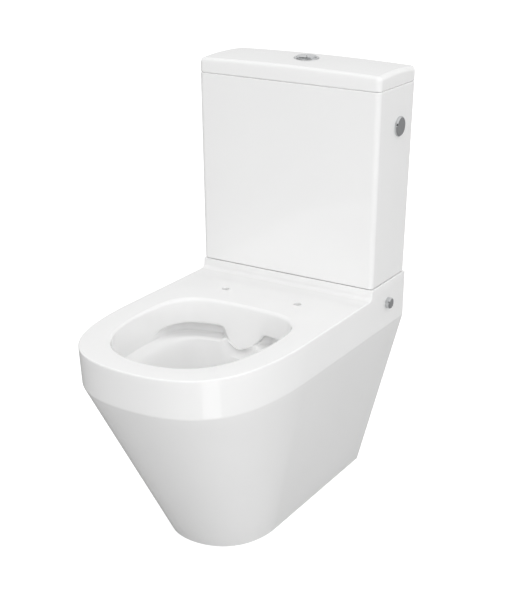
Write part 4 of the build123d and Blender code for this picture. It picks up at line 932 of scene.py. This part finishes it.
def face_outwards(work):
    """Turn the skin so that its deck faces up."""
    bmesh.ops.recalc_face_normals(work, faces=work.faces[:])
    deck = [f for f in work.faces if abs(f.calc_center_median().z - DECK_Z) < DECK_LEVEL]
    if sum(f.normal.z * f.calc_area() for f in deck) < 0:
        bmesh.ops.reverse_faces(work, faces=work.faces[:])


def under_skin(tree, spot, facing):
    """True where the skin lies close to a spot and faces the same way."""
    _, normal, _, distance = tree.find_nearest(spot)
    return distance <= COVERED and normal.dot(facing) >= SAME_WAY


def hidden_side(node, skin_work):
    """Faces of the solid that the skin leaves open to view."""
    tree = BVHTree.FromBMesh(skin_work)
    work = bmesh.new()
    work.from_mesh(node.data)
    bmesh.ops.remove_doubles(work, verts=work.verts[:], dist=DOUBLES)
    covered = []
    for face in work.faces:
        middle = face.calc_center_median()
        spots = [middle] + [v.co for v in face.verts]
        near = all(under_skin(tree, spot, face.normal) for spot in spots)
        if near or inside_bowl(middle, face.normal):
            covered.append(face)
    bmesh.ops.delete(work, geom=covered, context="FACES")
    return work


def make_pan():
    """The finished pan: new skin and bowl, with the hidden side of the solid."""
    data = pan_skin.mesh("pan_china")
    work = bmesh.new()
    work.from_mesh(data)
    face_outwards(work)
    mark_edges(work, SKIN_ANGLE)
    work.to_mesh(data)
    rest = hidden_side(nodes["pan"], work)
    mark_edges(rest, SOLID_ANGLE)
    rest_data = bpy.data.meshes.new("pan_rest")
    rest.to_mesh(rest_data)
    work.from_mesh(rest_data)
    work.to_mesh(data)
    print("pan:", len(rest.faces), "hidden faces kept")
    rest.free()
    work.free()
    bpy.data.meshes.remove(rest_data)
    return place_piece("pan_china", data, china)


pan_china = make_pan()
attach(pan_china, "toilet")
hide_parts("pan")
print("pan triangles:", sum(len(p.vertices) - 2 for p in pan_china.data.polygons))

# %% [markdown]
# Springs and screw threads are the same idea: a wire that climbs around an axis. One Geometry Nodes tree
# makes it from a spiral and a round section, with its sizes as inputs. A thread is such a wire, mostly
# sunk into its shank. Each result becomes a plain mesh and is turned onto its axis.

# %% Tree for coils and threads
COIL_STEPS, COIL_SECTION = 40, 8
UPWARDS = (0, 0, 1)


def make_coil_tree():
    """Spiral, swept with a round section, with the finish as an input."""
    tree = bpy.data.node_groups.new("coil", "GeometryNodeTree")
    face = tree.interface
    face.new_socket("Geometry", in_out="OUTPUT", socket_type="NodeSocketGeometry")
    for name in ("Turns", "Radius", "Height", "Wire Radius"):
        face.new_socket(name, in_out="INPUT", socket_type="NodeSocketFloat")
    face.new_socket("Finish", in_out="INPUT", socket_type="NodeSocketMaterial")
    given = tree.nodes.new("NodeGroupInput")
    result = tree.nodes.new("NodeGroupOutput")
    spiral = tree.nodes.new("GeometryNodeCurveSpiral")
    spiral.inputs["Resolution"].default_value = COIL_STEPS
    section = tree.nodes.new("GeometryNodeCurvePrimitiveCircle")
    section.inputs["Resolution"].default_value = COIL_SECTION
    sweep = tree.nodes.new("GeometryNodeCurveToMesh")
    sweep.inputs["Fill Caps"].default_value = True
    realize = tree.nodes.new("GeometryNodeRealizeInstances")
    paint = tree.nodes.new("GeometryNodeSetMaterial")
    link = tree.links.new
    link(given.outputs["Turns"], spiral.inputs["Rotations"])
    link(given.outputs["Radius"], spiral.inputs["Start Radius"])
    link(given.outputs["Radius"], spiral.inputs["End Radius"])
    link(given.outputs["Height"], spiral.inputs["Height"])
    link(given.outputs["Wire Radius"], section.inputs["Radius"])
    link(spiral.outputs["Curve"], sweep.inputs["Curve"])
    link(section.outputs["Curve"], sweep.inputs["Profile Curve"])
    link(sweep.outputs["Mesh"], realize.inputs["Geometry"])
    link(realize.outputs["Geometry"], paint.inputs["Geometry"])
    link(given.outputs["Finish"], paint.inputs["Material"])
    link(paint.outputs["Geometry"], result.inputs["Geometry"])
    return tree


coil_tree = make_coil_tree()


def run_tree(tree, sizes):
    """The mesh that a tree makes with the given inputs."""
    holder = bpy.data.objects.new("holder", bpy.data.meshes.new("holder"))
    scene.collection.objects.link(holder)
    modifier = holder.modifiers.new("shape", "NODES")
    modifier.node_group = tree
    for item in tree.interface.items_tree:
        if item.in_out == "INPUT" and item.name in sizes:
            modifier[item.identifier] = sizes[item.name]
    view = bpy.context.evaluated_depsgraph_get()
    data = bpy.data.meshes.new_from_object(holder.evaluated_get(view), depsgraph=view)
    holder.modifiers.remove(modifier)
    bpy.data.objects.remove(holder)
    return data


def make_coil(turns, radius, height, wire, finish, start, axis):
    """A coil from a start point along an axis, all in millimetres."""
    sizes = {"Turns": float(turns), "Radius": radius * MM, "Height": height * MM, "Wire Radius": wire * MM}
    data = run_tree(coil_tree, {**sizes, "Finish": finish})
    turn = Vector(UPWARDS).rotation_difference(Vector(axis)).to_matrix().to_4x4()
    data.transform(Matrix.Translation(Vector(metres(*start))) @ turn)
    data.shade_smooth()
    return data


print("coil tree:", len(coil_tree.nodes), "nodes")

# %% [markdown]
# The two return springs stand side by side in the sleeve, each around its push rod. They take the place
# of the plain solids and reach from the sleeve's floor up under their button.

# %% Button springs
BUTTON_TURN = math.radians(30)
ROD_PLACE = (11.0, 3.0)
SLEEVE_FLOOR_Z, BUTTON_UNDER_Z = 801.4, 826.9
SPRING_R, SPRING_WIRE, SPRING_TURNS, SPRING_GAP = 5.0, 0.45, 6, 0.1


def add_spring(name, turn):
    """One return spring from the sleeve's floor up under its button."""
    angle = BUTTON_TURN + turn
    x = ROD_PLACE[0] * math.cos(angle) - ROD_PLACE[1] * math.sin(angle)
    y = ROD_PLACE[0] * math.sin(angle) + ROD_PLACE[1] * math.cos(angle) + VALVE_Y / MM
    room = BUTTON_UNDER_Z - SLEEVE_FLOOR_Z
    start = (x, y, SLEEVE_FLOOR_Z + SPRING_WIRE + SPRING_GAP)
    height = room - 2 * (SPRING_WIRE + SPRING_GAP)
    data = make_coil(SPRING_TURNS, SPRING_R, height, SPRING_WIRE, steel, start, UPWARDS)
    piece = place_piece(f"{name}_return_spring", data, steel)
    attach(piece, "lid")
    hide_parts(f"{name}_button_spring")
    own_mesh(piece)
    return piece


springs = [add_spring("full", 0.0), add_spring("half", math.pi)]
print("springs:", [len(s.data.polygons) for s in springs])

# %% [markdown]
# Threads show on the real parts in three places: on the water inlet outside the cistern, on the button's
# sleeve under its nut, and on the ends of the two bolts that hold the cistern. The solids have plain shanks
# there, so only the ridge is added.

# %% Threads
INLET_AXIS = Vector((-366.5, 0, -4.5)).normalized()
INLET_POINT = Vector((-186.6, 264.0, 721.5))
SHANK_R, SHANK_FROM, SHANK_TO, SHANK_PITCH = 10.3, 10.0, 33.2, 1.8
SLEEVE_R, SLEEVE_LOW_Z, SLEEVE_HIGH_Z, SLEEVE_PITCH = 20.5, 799.2, 806.2, 2.0
BOLT_R, BOLT_LOW_Z, BOLT_HIGH_Z, BOLT_PITCH = 4.0, 399.0, 401.8, 1.25
RIDGE_SHARE = 0.36


def add_thread(name, radius, low, high, pitch, start, axis, body, slot):
    """A ridge that winds around a shank between two distances from a start point."""
    wire = RIDGE_SHARE * pitch
    first = Vector(start) + Vector(axis) * low
    data = make_coil((high - low) / pitch, radius - wire / 2, high - low, wire, FINISHES[slot], first, axis)
    piece = place_piece(name, data, FINISHES[slot])
    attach(piece, body)
    return piece


valve_foot = (0, VALVE_Y / MM, 0)
threads = [
    add_thread("inlet_thread", SHANK_R, SHANK_FROM, SHANK_TO, SHANK_PITCH, INLET_POINT, INLET_AXIS,
               "toilet", "white_plastic"),
    add_thread("sleeve_thread", SLEEVE_R, SLEEVE_LOW_Z, SLEEVE_HIGH_Z, SLEEVE_PITCH, valve_foot, UPWARDS,
               "lid", "white_plastic"),
]
for side, name in ((-1, "left"), (1, "right")):
    foot = (side * BOLT_X / MM, VALVE_Y / MM, 0)
    threads.append(add_thread(f"{name}_bolt_thread", BOLT_R, BOLT_LOW_Z, BOLT_HIGH_Z, BOLT_PITCH, foot,
                              UPWARDS, "toilet", "steel"))
print("threads:", [t.name for t in threads])

# %% [markdown]
# Studio china stands in plain white. The camera and mirrors see a white world. All other rays get a softer
# one from the same tree, so that the lamps can shape the china. A Light Path node tells the rays apart.

# %% White world
WORLD_LIGHT, WORLD_WHITE = 0.81, 1.0


def background_rays(tree):
    """1 for rays from the camera, from mirrors and through glass, else 0."""
    path = tree.nodes.new("ShaderNodeLightPath")
    seen = path.outputs["Is Camera Ray"]
    for kind in ("Is Glossy Ray", "Is Transmission Ray"):
        either = tree.nodes.new("ShaderNodeMath")
        either.operation = "MAXIMUM"
        tree.links.new(seen, either.inputs[0])
        tree.links.new(path.outputs[kind], either.inputs[1])
        seen = either.outputs[0]
    return seen


def make_world():
    """White to the camera and to mirrors, softer for the light on the object."""
    world = bpy.data.worlds.new("white_studio")
    scene.world = world
    world.use_nodes = True
    tree = world.node_tree
    tree.nodes.clear()
    output = tree.nodes.new("ShaderNodeOutputWorld")
    choose = tree.nodes.new("ShaderNodeMixShader")
    tree.links.new(background_rays(tree), choose.inputs["Fac"])
    for place, strength in ((1, WORLD_LIGHT), (2, WORLD_WHITE)):
        sky = tree.nodes.new("ShaderNodeBackground")
        sky.inputs["Color"].default_value = (1, 1, 1, 1)
        sky.inputs["Strength"].default_value = strength
        tree.links.new(sky.outputs[0], choose.inputs[place])
    tree.links.new(choose.outputs[0], output.inputs["Surface"])
    return world


world = make_world()
print("world:", world.name, "with", len(world.node_tree.nodes), "nodes")


# %% [markdown]
# The floor keeps a faint shadow, which sets the object down. It glows to the camera and to mirrors, so that
# it comes out as white as the world, but the light that it throws up at the object stays grey.

# %% Floor
FLOOR_REACH, FLOOR_ROUGHNESS = 40.0, 0.9
FLOOR_TONE, FLOOR_DRIFT, FLOOR_GLOW = 0.53, 0.02, 0.72


def level(half, z):
    """Corners of a square that lies flat."""
    return [(-half, -half, z), (half, -half, z), (half, half, z), (-half, half, z)]


def studio_sheet(name, corners, finish):
    """A flat sheet of the studio."""
    data = bpy.data.meshes.new(name)
    data.from_pydata(corners, [], [(0, 1, 2, 3)])
    data.materials.append(finish)
    sheet = bpy.data.objects.new(name, data)
    scene.collection.objects.link(sheet)
    return sheet


def make_floor_finish():
    """White with a faint shadow to the camera and to mirrors, grey for the light it throws up."""
    finish, tree, shader = new_finish("white_floor")
    output = next(n for n in tree.nodes if n.type == "OUTPUT_MATERIAL")
    darker, lighter = (FLOOR_TONE,) * 3, (FLOOR_TONE + FLOOR_DRIFT,) * 3
    colour_between(tree, noise_on(tree, scale=3.0), darker, lighter, shader.inputs["Base Color"])
    shader.inputs["Roughness"].default_value = FLOOR_ROUGHNESS
    shader.inputs["Specular IOR Level"].default_value = 0.0
    glow = tree.nodes.new("ShaderNodeEmission")
    glow.inputs["Strength"].default_value = FLOOR_GLOW
    lit = tree.nodes.new("ShaderNodeAddShader")
    tree.links.new(shader.outputs["BSDF"], lit.inputs[0])
    tree.links.new(glow.outputs["Emission"], lit.inputs[1])
    choose = tree.nodes.new("ShaderNodeMixShader")
    tree.links.new(background_rays(tree), choose.inputs["Fac"])
    tree.links.new(shader.outputs["BSDF"], choose.inputs[1])
    tree.links.new(lit.outputs[0], choose.inputs[2])
    tree.links.new(choose.outputs[0], output.inputs["Surface"])
    return finish


floor = studio_sheet("studio_floor", level(FLOOR_REACH, 0), make_floor_finish())
floor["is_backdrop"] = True
print("floor:", [round(side) for side in floor.dimensions[:2]], "m")

# %% [markdown]
# A glaze and a plate are only as good as what they mirror. In an all white room they would dissolve into
# the white, so three grey cards stand round the object, as a photographer places them. Only mirrors see
# the cards: they throw no light and no shadow.

# %% Cards for the mirrors
FLOOR_CARD_HALF, FLOOR_CARD_Z, FLOOR_CARD_TONE = 20.0, 0.002, 0.34
BACK_CARD_HALF, BACK_CARD_Y, BACK_CARD_HEIGHTS, BACK_CARD_TONE = 12.0, 5.0, (0.0, 4.2), 0.77
FRONT_CARD_HALF, FRONT_CARD_Y, FRONT_CARD_HEIGHTS, FRONT_CARD_TONE = 30.0, -7.0, (1.6, 9.0), 0.05
CARD_DRIFT = 0.05


def upright(half, y, heights):
    """Corners of a rectangle that stands across the studio."""
    low, high = heights
    return [(-half, y, low), (half, y, low), (half, y, high), (-half, y, high)]


def make_card(name, corners, tone):
    """A grey card that only mirrors see."""
    finish, tree, shader = new_finish(name)
    shader.inputs["Emission Strength"].default_value = 1.0
    shader.inputs["Base Color"].default_value = (0, 0, 0, 1)
    shader.inputs["Specular IOR Level"].default_value = 0.0
    darker, lighter = (tone,) * 3, (tone + CARD_DRIFT,) * 3
    colour_between(tree, noise_on(tree, scale=0.6), darker, lighter, shader.inputs["Emission Color"])
    card = studio_sheet(name, corners, finish)
    card.visible_camera = False
    card.visible_diffuse = False
    card.visible_shadow = False
    card.visible_transmission = False
    card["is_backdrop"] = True
    return card


back_corners = upright(BACK_CARD_HALF, BACK_CARD_Y, BACK_CARD_HEIGHTS)
front_corners = upright(FRONT_CARD_HALF, FRONT_CARD_Y, FRONT_CARD_HEIGHTS)
cards = [
    make_card("floor_card", level(FLOOR_CARD_HALF, FLOOR_CARD_Z), FLOOR_CARD_TONE),
    make_card("back_card", back_corners, BACK_CARD_TONE),
    make_card("front_card", front_corners, FRONT_CARD_TONE),
]
print("cards:", [card.name for card in cards])

# %% [markdown]
# One wide lamp above and behind the camera models the forms, and a weaker one from the right opens up the
# shaded side. Neither shows in the glaze. A small low lamp does the opposite: only mirrors see it, and it
# lays a thin bright strip along the turn of the band.

# %% Lamps
FRONT_PLACE, FRONT_TARGET, FRONT_SIZE, FRONT_POWER = (1.6, -2.7, 2.85), (0, 0, 0.4), (3.4, 2.8), 38.0
FILL_PLACE, FILL_TARGET, FILL_SIZE, FILL_POWER = (2.95, -1.3, 0.75), (0, 0, 0.35), (2.0, 1.2), 18.0
STRIP_PLACE, STRIP_TARGET = (0.47, -0.45, 0.15), (0.10, -0.29, 0.37)
STRIP_SIZE, STRIP_POWER = (0.21, 0.28), 0.20


def add_lamp(name, place, target, size, power):
    """A soft square lamp that looks at a target."""
    data = bpy.data.lights.new(name, "AREA")
    data.shape = "RECTANGLE"
    data.size, data.size_y = size
    data.energy = power
    lamp = bpy.data.objects.new(name, data)
    scene.collection.objects.link(lamp)
    lamp.location = place
    lamp.rotation_euler = (Vector(target) - Vector(place)).to_track_quat("-Z", "Y").to_euler()
    return lamp


front = add_lamp("front_lamp", FRONT_PLACE, FRONT_TARGET, FRONT_SIZE, FRONT_POWER)
front.visible_glossy = False
fill = add_lamp("fill_lamp", FILL_PLACE, FILL_TARGET, FILL_SIZE, FILL_POWER)
fill.visible_camera = False
fill.visible_glossy = False
strip = add_lamp("strip_lamp", STRIP_PLACE, STRIP_TARGET, STRIP_SIZE, STRIP_POWER)
strip.visible_camera = False
strip.visible_diffuse = False
print("lamps:", [(lamp.name, round(lamp.data.energy, 2)) for lamp in (front, fill, strip)])

# %% [markdown]
# Last, the sizes of the frame and of the dressed model are written side by side, which shows at once if the
# dressing has grown past the solids.

# %% Sizes and finish
visual_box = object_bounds()
for title, (low, high) in (("frame", cad_box), ("dressed", visual_box)):
    print(title, "is", [round(b - a, 4) for a, b in zip(low, high)], "m")
